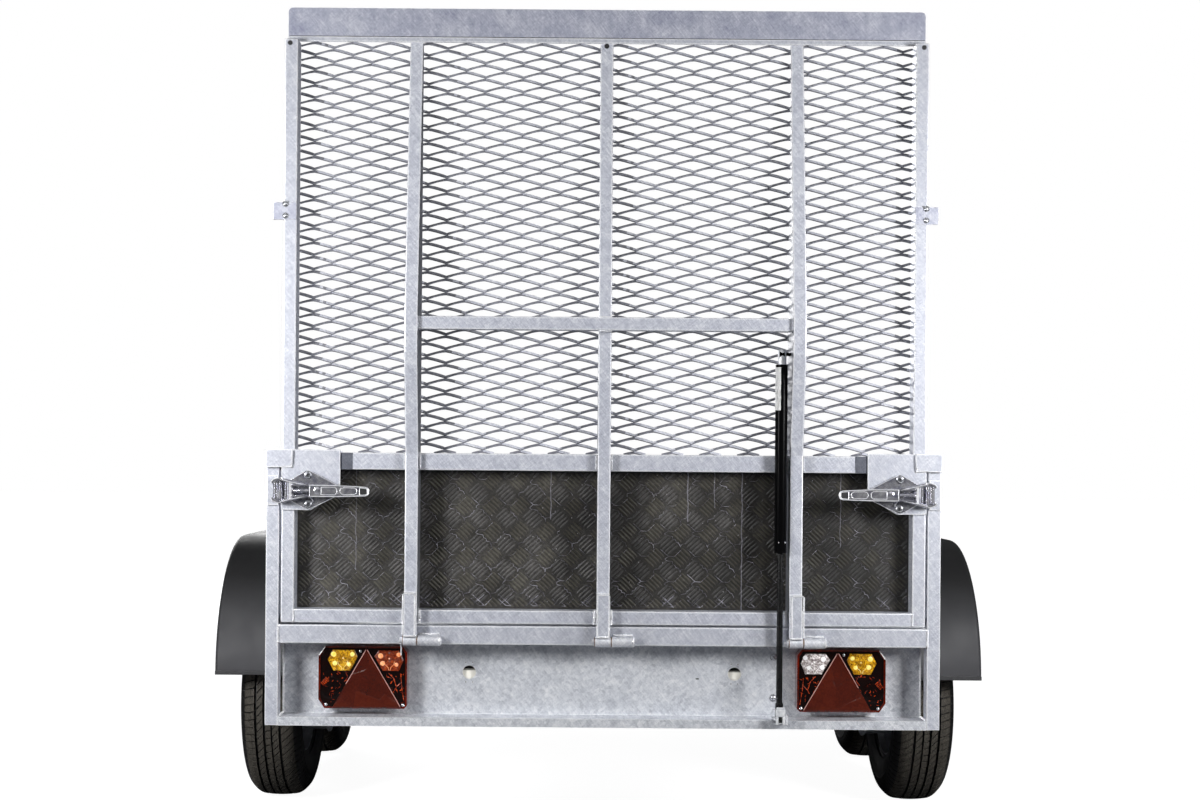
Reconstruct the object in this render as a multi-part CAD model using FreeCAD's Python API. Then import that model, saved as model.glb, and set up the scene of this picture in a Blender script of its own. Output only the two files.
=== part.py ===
import FreeCAD, Part
import math
import os

# Tandem-axle utility trailer with a hinged mesh ramp for a tailgate, parked on its jockey wheel.
# Millimetres, +X to the right seen from behind, +Y towards the towing vehicle, +Z up, ground at z = 0.
# Stations in y are counted from the rear face of the rear posts. write() moves every piece so that
# the origin lies on the ground under the middle of the overall box.

# ---------------------------------------------------------------- bed
BED_HALF = 775.0          # centre plane to the outside of the posts
BED_LENGTH = 3000.0       # rear face of the posts to the front of the headboard
DECK_TOP = 576.0
WALL_TOP = 971.0
MEMBER = 30.0             # width of posts, sills, rails and ramp members
TUBE_WALL = 3.0
SHEET = 2.0
POST_DEPTH = 35.0
POST_BOTTOM = 344.0
SILL_HEIGHT = 43.0
LAMP_RECESS = 70.0        # rear face of the posts to the lamp plate
LAMP_LIP = 20.0
PORT_R = 15.5             # cable ports in the lamp plate
PORT_X = 310.0
PORT_Z = 461.0
DECK_SHEET = 3.0
CROSS_WIDTH = 40.0
CROSS_COUNT = 6
RAIL_HEIGHT = 100.0       # chassis rails under the cross members
RAIL_WIDTH = 45.0
RAIL_WALL = 4.0
RAIL_INSET = 33.0         # outside of the posts to the webs of the chassis rails
STAKES_PER_SIDE = 4
SWAGE_DEPTH = 9.0
SWAGE_HEIGHT = 60.0
SWAGE_COUNT = 2
HEADBOARD_PANES = 3

# ---------------------------------------------------------------- running gear
WHEEL_BASE = 700.0
REAR_AXLE_Y = 957.0
TYRE_R = 289.0
TYRE_HALF = 82.5
TYRE_GAP = 32.5           # tyre to the side of the bed
TREAD_HALF = 58.0
SHOULDER_DROP = 8.0       # tread down to the rounded-off shoulder
SHOULDER_HALF = 69.0
BULGE_LOW = 36.0          # rim flange up to the widest part of the sidewall
BULGE_HIGH = 40.0         # tread down to the widest part
RIM_R = 165.0             # bead seat
RIM_HALF = 62.0
RIM_FLANGE = 13.0
RIM_WALL = 4.0
RIM_WELL = 13.0
WELL_BACK = 28.0          # well of the rim, behind and ahead of the wheel's middle plane
WELL_FRONT = 8.0
WELL_SLOPE = 16.0
DISC_OFFSET = 30.0        # outer side of the wheel disc from the wheel's middle plane
DISC_WALL = 6.0
DISC_CROWN = 12.0         # how far the ring of vents stands out from the disc
DISC_SLOPE = 22.0
CROWN_EDGE = 5.0          # flat of the crown beyond the vents
VENT_PCD = 215.0
VENT_R = 13.0
VENTS = 8
DRUM_R = 105.0
DRUM_WIDTH = 86.0
DRUM_GAP = 2.0            # drum to backplate
DRUM_SLOPE = 8.0
HUB_R = 42.0
HUB_CAP_R = 30.0
HUB_CAP_LENGTH = 26.0
HUB_CAP_TAPER = 3.0
STUB_R = 20.0
STUB_END_GAP = 1.0
AXLE_TUBE = 60.0
AXLE_SEAT = 30.0          # height of the seats between axle tube and chassis rail
AXLE_SEAT_EDGE = 12.0
ARM_LENGTH = 150.0        # axle tube to wheel centre, along the trailer
ARM_WIDTH = 18.0
ARM_R = 38.0
ARM_WAIST = 6.0           # the arm's web is this much narrower than its ends, each side
BACKPLATE_R = 112.0
BACKPLATE = 4.0
FIT = 0.3                 # running gap between a shaft or seat and its bore

# ---------------------------------------------------------------- mudguards
GUARD_WIDTH = 245.0       # side of the bed to the outside of the mudguard
GUARD_GAP = 68.0          # mudguard's radius beyond the tyre's
GUARD_LIFT = 93.0         # centres of the mudguard's arcs above the wheel centres
GUARD_WALL = 4.0
GUARD_SKIRT = 26.0
GUARD_EDGE_R = 12.0
STAY_HEIGHT = 30.0
STAY_WALL = 5.0
STAY_UP = 3.0             # above the underside of the chassis rails

# ---------------------------------------------------------------- drawbar and coupling
DRAWBAR_OVERLAP = 600.0   # drawbar under the front of the bed
DRAWBAR_REACH = 960.0     # drawbar ahead of the bed
DRAWBAR_INSET = 52.0      # web of the chassis rail to the beam's centre line at its rear
DRAWBAR_NOSE_X = 62.0
DRAWBAR_WIDTH = 50.0
DRAWBAR_WALL = 4.0
PLATE = 6.0
PLATE_LENGTH = 260.0
HOUSING_LENGTH = 320.0
HOUSING_AHEAD = 100.0     # housing ahead of the beams
HOUSING_EDGE_R = 10.0
SHAFT_R = 25.0
SHAFT_UP = 53.0           # shaft above the underside of the drawbar
BOSS_R = 40.0
BOSS_LENGTH = 18.0
GAITER_LENGTH = 112.0
GAITER_R = 47.0
GAITER_WAIST = 37.0
GAITER_FOLDS = 5
HEAD_REACH = 95.0         # end of the gaiter to the ball's centre
BALL_DROP = 40.0          # ball's centre below the shaft
SOCKET_R = 25.4
HEAD_R = 37.0
HEAD_HALF = 24.0
COLLAR_WALL = 8.0
SKIRT_DEPTH = 8.0         # cup below the ball's centre
HEAD_STEP = 6.0           # body above the collar's middle part, and where it starts along the collar
HEAD_NOSE = 8.0           # foot of the body ahead of the ball's centre
HANDLE_HALF = 14.0
HANDLE_REACH = 62.0       # handle behind the end of the gaiter
HANDLE_RISE = 82.0        # end of the handle above the shaft
HANDLE_CREST = 62.0       # middle of the handle above the shaft
HANDLE_WALL = 12.0

# handbrake: lever and toothed quadrant beside the housing
LEVER_BACK = 60.0         # pivot behind the front of the housing
LEVER_UP = 15.0           # pivot above the shaft
LEVER_BOSS_R = 16.0
LEVER_FOOT_R = 22.0
LEVER_WALL = 8.0
LEVER_LENGTH = 250.0
LEVER_LEAN = 30.0
LEVER_TAPER = 9.0
LEVER_GAP = 3.0
GRIP_R = 13.0
GRIP_LENGTH = 120.0
QUADRANT_R = 62.0
QUADRANT_WALL = 5.0
QUADRANT_HALF_ANGLE = 34.0
TEETH = 9
TOOTH_DEPTH = 4.0

# ---------------------------------------------------------------- jockey wheel
JOCKEY_BEHIND = 160.0     # behind the drawbar's nose
JOCKEY_TUBE_R = 24.0
JOCKEY_WALL = 2.5
JOCKEY_TUBE_BOTTOM = 400.0
JOCKEY_TUBE_TOP = 850.0
JOCKEY_CAP = 6.0
JOCKEY_INNER_TOP = 585.0
JOCKEY_INNER_WALL = 3.0
JOCKEY_WHEEL_R = 100.0
JOCKEY_WHEEL_HALF = 24.0
JOCKEY_TREAD = 24.0       # thickness of the rubber
JOCKEY_TREAD_EDGE = 9.0
JOCKEY_WEB_HALF = 8.0
JOCKEY_HUB_R = 22.0
JOCKEY_TRAIL = 45.0
FORK_TOP = 222.0
FORK_PLATE = 7.0
FORK_CHEEK = 5.0
FORK_GAP = 6.0
FORK_HALF = 34.0          # half length of the fork's plate
FORK_SHOULDER = 30.0
FORK_FOOT_R = 16.0
FORK_PIN_R = 8.0
FORK_PIN_END = 4.0
CLAMP_HEIGHT = 44.0
CLAMP_WALL = 12.0
CLAMP_GAP = 16.0          # clamp ring to the beam
CLAMP_SCREW_R = 7.0
CLAMP_SCREW_OUT = 34.0
CLAMP_BAR_R = 5.0
CLAMP_BAR_HALF = 45.0
CRANK_NECK_R = 8.0
CRANK_NECK = 26.0
CRANK_ARM = 106.0
CRANK_WALL = 6.0
CRANK_KNOB_R = 12.0
CRANK_KNOB = 74.0

# ---------------------------------------------------------------- ramp
HINGE_R = 10.0
HINGE_PIN_R = 6.0
RAMP_BARREL = 38.0
FRAME_BARREL = 46.0
BARREL_GAP = 1.5
PIN_END = 6.0             # hinge pin beyond the ramp's barrel
PIN_ROOT = 5.0            # hinge pin inside the frame's barrel
RAMP_GAP = 5.0            # ramp to posts, to sill and lugs to posts
RAMP_DEPTH = 48.0
RAMP_TOP = 2000.0
LIP_HEIGHT = 78.0
LIP_WALL = 4.0
LIP_INSET = 3.5
LIP_R = 10.0
LIP_RAIL_UP = 20.0        # fold of the lip up to the rail behind it
MID_RAIL_Z = 933.0
MID_RAIL_HEIGHT = 39.0
BOTTOM_RAIL_HEIGHT = 31.0
MESH_WALL = 3.0
STRAND = 7.0
MESH_PITCH_X = 172.0      # long way and short way of the expanded metal's openings
MESH_PITCH_Z = 65.0
BEAM_X = 440.0
BEAM_WALL = 3.0
BEAM_BOTTOM = 600.0
BEAM_REAR = 18.0          # how far the beams stand behind the ramp frame, low down
BELLY = 62.0              # the same at the belly of the outer beams
BELLY_LOW = 1200.0
BELLY_HIGH = 1290.0
BELLY_WALL = 4.2          # wall of the beams along y, where they slope
BELLY_SLOPE_DROP = 10.0   # inner bend of the upper slope below the outer one
BEAM_TIP = 30.0           # beams end this far ahead of the ramp frame's rear face
CROSS_BAR_Z = 1268.0
CROSS_BAR_FRONT = 22.0    # front face of the cross bar, behind the ramp frame
STRAP_WIDTH = 29.0
STRAP_WALL = 6.0
STRAP_TOP = 655.0
TAB_Z = 1525.0
TAB_HEIGHT = 40.0
TAB_OUT = 23.0
TAB_LENGTH = 53.0
TAB_WALL = 4.0

# gussets at the ends of the mid rail, with the lugs that stop the ramp against the posts
GUSSET = 5.0
GUSSET_ABOVE = 6.0        # above the mid rail
GUSSET_HEIGHT = 139.0
GUSSET_WIDTH = 135.0
GUSSET_FOOT = 68.0        # level part of the lower edge
GUSSET_SLANT_X = 54.0
GUSSET_SLANT_Z = 32.0
LUG_WIDTH = 60.0
LUG_HEIGHT = 41.0

# latches: foot on the gusset, claw over the keeper on the post, handle with pressed pockets
LATCH_INSET = 62.0        # outside of the ramp to the middle of the foot
LATCH_Z = 884.0
LATCH_HALF = 34.0
LATCH_SIDE = 22.0         # half height of the foot's upright sides
LATCH_TALL = 46.0         # half height of the foot at its points
LATCH_FOOT = 6.0
LATCH_STAND = 16.0        # body of the latch behind the gusset
LATCH_ARM_HALF = 14.0
CLAW_HALF = 28.0
CLAW_REACH = 54.0         # claw beyond the foot
CLAW_TIP = 7.0
HANDLE_ROOT_HALF = 16.0
HANDLE_NECK_HALF = 15.0
HANDLE_TIP_HALF = 10.0
HANDLE_NECK = 90.0        # from the foot's middle to where the handle narrows, and to its tip
HANDLE_TIP = 144.0
HANDLE_DEPTH = 14.0
POCKETS = 3
POCKET_LENGTH = 30.0
POCKET_HALF = 7.0
POCKET_PITCH = 40.0
POCKET_DEPTH = 3.0
KEEPER_PLATE = 4.0
KEEPER_BAR = 6.0
KEEPER_BAR_WIDTH = 7.0
KEEPER_EDGE = 2.0
KEEPER_HALF = 34.0

# ---------------------------------------------------------------- gas strut
STRUT_TOP_Z = 1203.5
STRUT_EYE_Z = 368.5
STRUT_R = 14.0
STRUT_LOW = 750.0
STRUT_HIGH = 1180.0
STRUT_CAP = 20.0
STRUT_NECK_R = 5.0
ROD_R = 7.0
ROD_TOP = 850.0
ROD_GAP = 4.0             # rod to the end of the hinge pin
ROD_SOCKET_R = 9.0
ROD_SOCKET = 38.0
EYE_R = 10.0
EYE_WIDTH = 12.0
PIN_R = 4.0
PIN_OUT = 8.0
BRACKET = 5.0

# ---------------------------------------------------------------- rear lamps
LAMP_EDGE = 88.5          # lamp to the inside of the post
LAMP_SEAT = 15.5          # lamp above the lip of the lamp panel
LAMP_WIDTH = 205.0
LAMP_HEIGHT = 145.0
LAMP_DEPTH = 38.0
LENS = 6.0
# corner cuts as (cut along x, cut along z), and lens outlines as (x, z) about the lamp's centre,
# both with the outer side at +x
OUTER_CUT = (14.5, 21.0)
INNER_TOP_CUT = (10.5, 15.0)
INNER_BOTTOM_CUT = (7.0, 7.0)
INDICATOR = ((25, 20), (83, 20), (83, 42), (62, 66), (25, 66))
INNER_WINDOW = ((-8, 20), (-72, 20), (-86, 36), (-86, 50), (-72, 66), (-8, 66))
REFLECTOR = ((-82, -64), (72, -64), (-5, 68))

V = FreeCAD.Vector
SIDES = (-1, 1)
AXES = {"x": V(1, 0, 0), "y": V(0, 1, 0), "z": V(0, 0, 1)}

# places that several pieces share
INNER = BED_HALF - MEMBER
DECK_REAR = LAMP_RECESS + TUBE_WALL
HEADBOARD_Y = BED_LENGTH - MEMBER
CROSS_BOTTOM = DECK_TOP - SILL_HEIGHT
RAIL_OUTSIDE = BED_HALF - RAIL_INSET
RAIL_TOP = CROSS_BOTTOM
RAIL_BOTTOM = RAIL_TOP - RAIL_HEIGHT
WALL_RAIL_Z = WALL_TOP - MEMBER
AXLES = (("rear", REAR_AXLE_Y), ("front", REAR_AXLE_Y + WHEEL_BASE))
TRACK_HALF = BED_HALF + TYRE_GAP + TYRE_HALF
ARM_FACE = RAIL_OUTSIDE + ARM_WIDTH
DRUM_INSIDE = ARM_FACE + BACKPLATE + DRUM_GAP
AXLE_Z = RAIL_BOTTOM - AXLE_SEAT - AXLE_TUBE / 2
GUARD_OUTSIDE = BED_HALF + GUARD_WIDTH
GUARD_R = TYRE_R + GUARD_GAP
GUARD_BASE = TYRE_R + GUARD_LIFT
DRAWBAR_REAR_X = RAIL_OUTSIDE - DRAWBAR_INSET
DRAWBAR_REAR_Y = BED_LENGTH - DRAWBAR_OVERLAP
DRAWBAR_NOSE_Y = BED_LENGTH + DRAWBAR_REACH
HOUSING_FRONT_Y = DRAWBAR_NOSE_Y + HOUSING_AHEAD
SHAFT_Z = RAIL_BOTTOM + SHAFT_UP
GAITER_Y = HOUSING_FRONT_Y + BOSS_LENGTH
COLLAR_Y = GAITER_Y + GAITER_LENGTH
BALL_Y = COLLAR_Y + HEAD_REACH
BALL_Z = SHAFT_Z - BALL_DROP
LEVER_Y = HOUSING_FRONT_Y - LEVER_BACK
LEVER_Z = SHAFT_Z + LEVER_UP
JOCKEY_Y = DRAWBAR_NOSE_Y - JOCKEY_BEHIND
JOCKEY_BORE_R = JOCKEY_TUBE_R - JOCKEY_WALL
HINGE_Y = -HINGE_R - RAMP_GAP
HINGE_Z = CROSS_BOTTOM + HINGE_R
HINGES = (-BEAM_X, 0.0, BEAM_X)
RAMP_HALF = INNER - RAMP_GAP
RAMP_INNER = RAMP_HALF - MEMBER
RAMP_BOTTOM = DECK_TOP + RAMP_GAP
MID_RAIL_TOP = MID_RAIL_Z + MID_RAIL_HEIGHT
LIP_Z = RAMP_TOP - LIP_HEIGHT
MESH_Y = RAMP_DEPTH - MESH_WALL
LATCH_X = RAMP_HALF - LATCH_INSET
STRUT_X = BEAM_X - RAMP_BARREL / 2 - PIN_END - ROD_GAP - ROD_R
STRUT_Y = -STRUT_R - RAMP_GAP
LAMP_X = INNER - LAMP_EDGE - LAMP_WIDTH / 2
LAMP_Z = POST_BOTTOM + LAMP_LIP + LAMP_SEAT + LAMP_HEIGHT / 2
BELLY_OUT = max(BELLY, CROSS_BAR_FRONT + MEMBER)
NOSE_Y = BALL_Y + HEAD_R
SHIFT_Y = (BELLY_OUT - NOSE_Y) / 2.0


# ---------------------------------------------------------------- shapes
def box(x0, x1, y0, y1, z0, z1):
    low = V(min(x0, x1), min(y0, y1), min(z0, z1))
    return Part.makeBox(abs(x1 - x0), abs(y1 - y0), abs(z1 - z0), low)


def tube(x0, x1, y0, y1, z0, z1, axis, wall=TUBE_WALL):
    """Box section, open at both ends along its axis."""
    outer = box(x0, x1, y0, y1, z0, z1)
    low = [min(x0, x1), min(y0, y1), min(z0, z1)]
    high = [max(x0, x1), max(y0, y1), max(z0, z1)]
    for i in range(3):
        step = wall if i != "xyz".index(axis) else -1.0
        low[i] += step
        high[i] -= step
    return outer.cut(box(low[0], high[0], low[1], high[1], low[2], high[2]))


def stake(x0, x1, y0, y1, z0, z1, wall=TUBE_WALL):
    """Upright box section with its top closed."""
    inner = box(x0 + wall, x1 - wall, y0 + wall, y1 - wall, z0 - 1, z1 - wall)
    return box(x0, x1, y0, y1, z0, z1).cut(inner)


def point(axis, at, a, b):
    """Point in the plane across an axis; a and b are its other two coordinates in x, y, z order."""
    return {"x": V(at, a, b), "y": V(a, at, b), "z": V(a, b, at)}[axis]


def prism(points, axis, start, end):
    """Extrudes a closed outline of straight sides."""
    corners = [point(axis, start, a, b) for a, b in points]
    face = Part.Face(Part.makePolygon(corners + corners[:1]))
    return face.extrude(AXES[axis] * (end - start))


def arc_wire(corners):
    """Closed wire of straight runs and arcs: a corner is a point, or (middle of an arc, its end)."""
    edges = []
    last = corners[-1][1] if isinstance(corners[-1], tuple) else corners[-1]
    for corner in corners:
        if isinstance(corner, tuple):
            middle, end = corner
            edges.append(Part.Arc(last, middle, end).toShape())
        else:
            end = corner
            edges.append(Part.makeLine(last, end))
        last = end
    return Part.Wire(edges)


def cylinder(r, x, y, z, length, axis):
    return Part.makeCylinder(r, length, V(x, y, z), AXES[axis])


def turned(corners, centre, axis):
    """Turns a closed outline about an axis; a corner is (radius, distance along the axis), or a pair
    of them for the middle and the end of an arc."""
    out = AXES["x"] if axis == "z" else AXES["z"]

    def place(spot):
        return centre + out * spot[0] + AXES[axis] * spot[1]

    wire = arc_wire([tuple(place(spot) for spot in corner) if isinstance(corner[0], tuple) else place(corner)
                     for corner in corners])
    return Part.Face(wire).revolve(centre, AXES[axis], 360)


def fuse(shapes):
    joined = shapes[0]
    if len(shapes) > 1:
        joined = shapes[0].multiFuse(shapes[1:])
    return joined.removeSplitter()


def mirrored(shape):
    return shape.mirror(V(0, 0, 0), V(1, 0, 0))


def both_sides(shape):
    return Part.makeCompound([shape, mirrored(shape)])


def edges_along(shape, axis, above=None):
    """Straight edges that run along an axis, or only those higher than a level."""
    found = []
    for edge in shape.Edges:
        ends = [vertex.Point for vertex in edge.Vertexes]
        if len(ends) == 2 and ends[0].sub(ends[1]).cross(AXES[axis]).Length < 1e-6:
            if above is None or min(ends[0].z, ends[1].z) > above:
                found.append(edge)
    return found


def c_section(web, toe, low, high, wall):
    """C section as (across, height) points, with its web at one side and its flanges' edges at toe."""
    inner = web + math.copysign(wall, toe - web)
    return [(web, low), (toe, low), (toe, low + wall), (inner, low + wall),
            (inner, high - wall), (toe, high - wall), (toe, high), (web, high)]


def write(name, shapes):
    part = Part.makeCompound(shapes) if isinstance(shapes, list) else shapes.copy()
    part.translate(V(0, SHIFT_Y, 0))
    part.exportStep("parts/%s.step" % name)


# ---------------------------------------------------------------- bed
def rear_post():
    return stake(INNER, BED_HALF, 0, POST_DEPTH, POST_BOTTOM, WALL_TOP)


def lamp_panel():
    """Recessed plate for the lamps, folded out to a lip between the feet of the posts."""
    wall = TUBE_WALL
    shelf = POST_BOTTOM + LAMP_LIP
    outline = [(0, POST_BOTTOM), (wall, POST_BOTTOM), (wall, shelf - wall), (DECK_REAR, shelf - wall),
               (DECK_REAR, CROSS_BOTTOM), (LAMP_RECESS, CROSS_BOTTOM), (LAMP_RECESS, shelf), (0, shelf)]
    panel = prism(outline, "x", -INNER, INNER)
    ports = [cylinder(PORT_R, side * PORT_X, LAMP_RECESS - 1, PORT_Z, wall + 2, "y") for side in SIDES]
    return panel.cut(Part.makeCompound(ports))


def chassis_rail():
    section = c_section(RAIL_OUTSIDE, RAIL_OUTSIDE - RAIL_WIDTH, RAIL_BOTTOM, RAIL_TOP, RAIL_WALL)
    return prism(section, "y", DECK_REAR, BED_LENGTH)


def cross_member(y):
    section = c_section(y, y + CROSS_WIDTH, CROSS_BOTTOM, DECK_TOP - DECK_SHEET, TUBE_WALL)
    return prism(section, "x", -INNER, INNER)


def swaged_outline(face, z0, z1):
    """Sheet section in (x, z) with swages pressed inwards from the outer face."""
    step = (z1 - z0) / SWAGE_COUNT
    half = SWAGE_HEIGHT / 2
    outer = [(face, z0)]
    for i in range(SWAGE_COUNT):
        middle = z0 + (i + 0.5) * step
        outer += [(face, middle - half), (face - SWAGE_DEPTH, middle - half + SWAGE_DEPTH),
                  (face - SWAGE_DEPTH, middle + half - SWAGE_DEPTH), (face, middle + half)]
    outer.append((face, z1))
    return outer + [(x - SHEET, z) for x, z in reversed(outer)]


def side_panel():
    """Swaged sheet with its stakes on the inside."""
    sheet = prism(swaged_outline(BED_HALF, DECK_TOP, WALL_RAIL_Z), "y", POST_DEPTH, HEADBOARD_Y)
    pitch = (HEADBOARD_Y - POST_DEPTH) / (STAKES_PER_SIDE + 1)
    stakes = []
    for i in range(STAKES_PER_SIDE):
        middle = POST_DEPTH + (i + 1) * pitch
        stakes.append(box(INNER, BED_HALF - SHEET, middle - MEMBER / 2, middle + MEMBER / 2,
                          DECK_TOP, WALL_RAIL_Z))
    return fuse([sheet] + stakes)


def headboard():
    """Front wall: sheet on the outside, frame members behind it."""
    board = box(-BED_HALF, BED_HALF, HEADBOARD_Y, BED_LENGTH, CROSS_BOTTOM, WALL_TOP)
    pitch = (2 * BED_HALF - MEMBER) / HEADBOARD_PANES
    for i in range(HEADBOARD_PANES):
        left = -BED_HALF + MEMBER + i * pitch
        board = board.cut(box(left, left + pitch - MEMBER, HEADBOARD_Y - 1, BED_LENGTH - SHEET,
                              DECK_TOP, WALL_RAIL_Z))
    return board


def side_tube(z0, z1):
    return both_sides(tube(INNER, BED_HALF, POST_DEPTH, HEADBOARD_Y, z0, z1, "y"))


def bed():
    write("rear_posts", both_sides(rear_post()))
    write("rear_sill", tube(-INNER, INNER, 0, DECK_REAR, CROSS_BOTTOM, DECK_TOP, "x"))
    write("lamp_panel", lamp_panel())
    write("chassis_rails", both_sides(chassis_rail()))
    pitch = (HEADBOARD_Y - DECK_REAR - CROSS_WIDTH) / CROSS_COUNT
    write("cross_members", [cross_member(DECK_REAR + (i + 0.5) * pitch) for i in range(CROSS_COUNT)])
    write("deck_plate", box(-INNER, INNER, DECK_REAR, HEADBOARD_Y, DECK_TOP - DECK_SHEET, DECK_TOP))
    write("side_sills", side_tube(CROSS_BOTTOM, DECK_TOP))
    write("side_rails", side_tube(WALL_RAIL_Z, WALL_TOP))
    write("side_panels", both_sides(side_panel()))
    write("headboard", headboard())


# ---------------------------------------------------------------- running gear
def tyre(side, y):
    """Tyre on its rim: bead seat, bulged sidewalls, shoulders and flat tread."""
    lip = RIM_R + RIM_FLANGE + FIT
    bead = RIM_HALF - RIM_WALL - FIT
    half = [(RIM_R + FIT, bead), (lip, bead), (lip, RIM_HALF), (lip + BULGE_LOW, TYRE_HALF),
            (TYRE_R - BULGE_HIGH, TYRE_HALF), (TYRE_R - SHOULDER_DROP, SHOULDER_HALF), (TYRE_R, TREAD_HALF)]
    outline = half + [(r, -a) for r, a in reversed(half)]
    return turned(outline, V(side * TRACK_HALF, y, TYRE_R), "x")


def wheel(side, y):
    """Steel rim, dished disc, brake drum, hub and cap, turned as one outline of (radius, offset)."""
    flange = RIM_R + RIM_FLANGE
    inside = RIM_R - RIM_WALL
    well = inside - RIM_WELL
    edge = RIM_HALF - RIM_WALL
    face = DISC_OFFSET
    back = face - DISC_WALL
    crown = face + DISC_CROWN
    ring = VENT_PCD / 2
    crown_out = ring + VENT_R + CROWN_EDGE
    crown_in = ring - VENT_R - CROWN_EDGE
    foot = crown_in - DISC_SLOPE
    bore = STUB_R + FIT
    drum_in = DRUM_INSIDE - TRACK_HALF
    drum_out = drum_in + DRUM_WIDTH
    cap = face + HUB_CAP_LENGTH
    drum = [(bore, drum_in), (DRUM_R, drum_in), (DRUM_R, drum_out), (HUB_R, drum_out + DRUM_SLOPE),
            (HUB_R, back)]
    disc_back = [(foot, back), (crown_in, crown - DISC_WALL), (crown_out, crown - DISC_WALL)]
    barrel = [(well, 0), (well, -WELL_BACK), (inside, -WELL_BACK - WELL_SLOPE), (inside, -RIM_HALF),
              (flange, -RIM_HALF), (flange, -edge), (RIM_R, -edge), (RIM_R, edge), (flange, edge),
              (flange, RIM_HALF), (inside, RIM_HALF), (inside, WELL_FRONT + WELL_SLOPE), (well, WELL_FRONT)]
    disc_face = [(crown_out, crown), (crown_in, crown), (foot, face)]
    hub = [(HUB_CAP_R, face), (HUB_CAP_R - HUB_CAP_TAPER, cap), (0, cap), (0, face), (bore, face)]
    outline = [(r, side * a) for r, a in drum + disc_back + barrel + disc_face + hub]
    vents = []
    for i in range(VENTS):
        angle = 2 * math.pi * (i + 0.5) / VENTS
        start = V(side * (TRACK_HALF + back), y + ring * math.cos(angle), TYRE_R + ring * math.sin(angle))
        vents.append(Part.makeCylinder(VENT_R, DISC_CROWN + 2 * DISC_WALL, start, V(side, 0, 0)))
    return turned(outline, V(side * TRACK_HALF, y, TYRE_R), "x").cut(Part.makeCompound(vents))


def axle(y):
    """Torsion axle: square tube, seats under the chassis rails, trailing arms, stubs and backplates."""
    tube_y = y + ARM_LENGTH
    half = AXLE_TUBE / 2
    drop = AXLE_Z - TYRE_R
    stub_length = TRACK_HALF + DISC_OFFSET - STUB_END_GAP - ARM_FACE
    web_half = ARM_R - ARM_WAIST
    seat = box(RAIL_OUTSIDE - RAIL_WIDTH, RAIL_OUTSIDE, tube_y - half - AXLE_SEAT_EDGE,
               tube_y + half + AXLE_SEAT_EDGE, AXLE_Z + half, RAIL_BOTTOM)
    web = box(RAIL_OUTSIDE, ARM_FACE, 0, math.hypot(drop, ARM_LENGTH), -web_half, web_half)
    web.rotate(V(0, 0, 0), AXES["x"], math.degrees(math.atan2(drop, ARM_LENGTH)))
    web.translate(V(0, y, TYRE_R))
    right = [seat, web,
             cylinder(ARM_R, RAIL_OUTSIDE, tube_y, AXLE_Z, ARM_WIDTH, "x"),
             cylinder(ARM_R, RAIL_OUTSIDE, y, TYRE_R, ARM_WIDTH, "x"),
             cylinder(BACKPLATE_R, ARM_FACE, y, TYRE_R, BACKPLATE, "x"),
             cylinder(STUB_R, ARM_FACE, y, TYRE_R, stub_length, "x")]
    beam_tube = tube(-RAIL_OUTSIDE, RAIL_OUTSIDE, tube_y - half, tube_y + half,
                     AXLE_Z - half, AXLE_Z + half, "x", RAIL_WALL)
    return fuse([beam_tube] + right + [mirrored(shape) for shape in right])


def guard_region(inset, x0, x1):
    """Space under the mudguard's crown, inset from its outer surface."""
    r = GUARD_R - inset
    rear, front = REAR_AXLE_Y, REAR_AXLE_Y + WHEEL_BASE
    top = GUARD_BASE + r
    k = r * math.sqrt(0.5)
    wire = arc_wire([V(x0, rear - r, GUARD_BASE),
                     (V(x0, rear - k, GUARD_BASE + k), V(x0, rear, top)),
                     V(x0, front, top),
                     (V(x0, front + k, GUARD_BASE + k), V(x0, front + r, GUARD_BASE))])
    return Part.Face(wire).extrude(V(x1 - x0, 0, 0))


def guard_solid(inset, x0):
    """The same space with the edge over the tyres rounded."""
    outside = GUARD_OUTSIDE - inset
    shape = guard_region(inset, x0, outside)
    crown = [edge for edge in shape.Edges
             if edge.BoundBox.XMin > outside - 1 and edge.BoundBox.ZMax > GUARD_BASE + 1]
    return shape.makeFillet(GUARD_EDGE_R - inset, crown)


def mudguard():
    opening = guard_region(GUARD_SKIRT, BED_HALF - 1, GUARD_OUTSIDE + 1)
    return guard_solid(0, BED_HALF).cut(guard_solid(GUARD_WALL, BED_HALF - 1)).cut(opening)


def guard_stay(front):
    """Flat bar from the chassis rail to the end of a mudguard."""
    r = GUARD_R - GUARD_WALL
    low = RAIL_BOTTOM + STAY_UP
    top = low + STAY_HEIGHT
    reach = math.sqrt(r ** 2 - (top - GUARD_BASE) ** 2) - FIT
    y = REAR_AXLE_Y + WHEEL_BASE + reach - STAY_WALL if front else REAR_AXLE_Y - reach
    return box(RAIL_OUTSIDE, GUARD_OUTSIDE - GUARD_EDGE_R, y, y + STAY_WALL, low, top)


def running_gear():
    for name, y in AXLES:
        for word, side in (("left", -1), ("right", 1)):
            write("tyre_%s_%s" % (name, word), tyre(side, y))
            write("wheel_%s_%s" % (name, word), wheel(side, y))
    write("axles", [axle(y) for _, y in AXLES])
    write("mudguards", both_sides(mudguard()))
    stays = [guard_stay(front) for front in (False, True)]
    write("mudguard_stays", stays + [mirrored(stay) for stay in stays])


# ---------------------------------------------------------------- drawbar
def drawbar_line(offset):
    """Point and slope of a line beside the right-hand beam; offset is positive outwards."""
    dx = DRAWBAR_NOSE_X - DRAWBAR_REAR_X
    dy = DRAWBAR_NOSE_Y - DRAWBAR_REAR_Y
    length = math.hypot(dx, dy)
    return DRAWBAR_REAR_X + offset * dy / length, DRAWBAR_REAR_Y - offset * dx / length, dx / dy


def drawbar_x(y, offset):
    x0, y0, slope = drawbar_line(offset)
    return x0 + (y - y0) * slope


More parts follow.
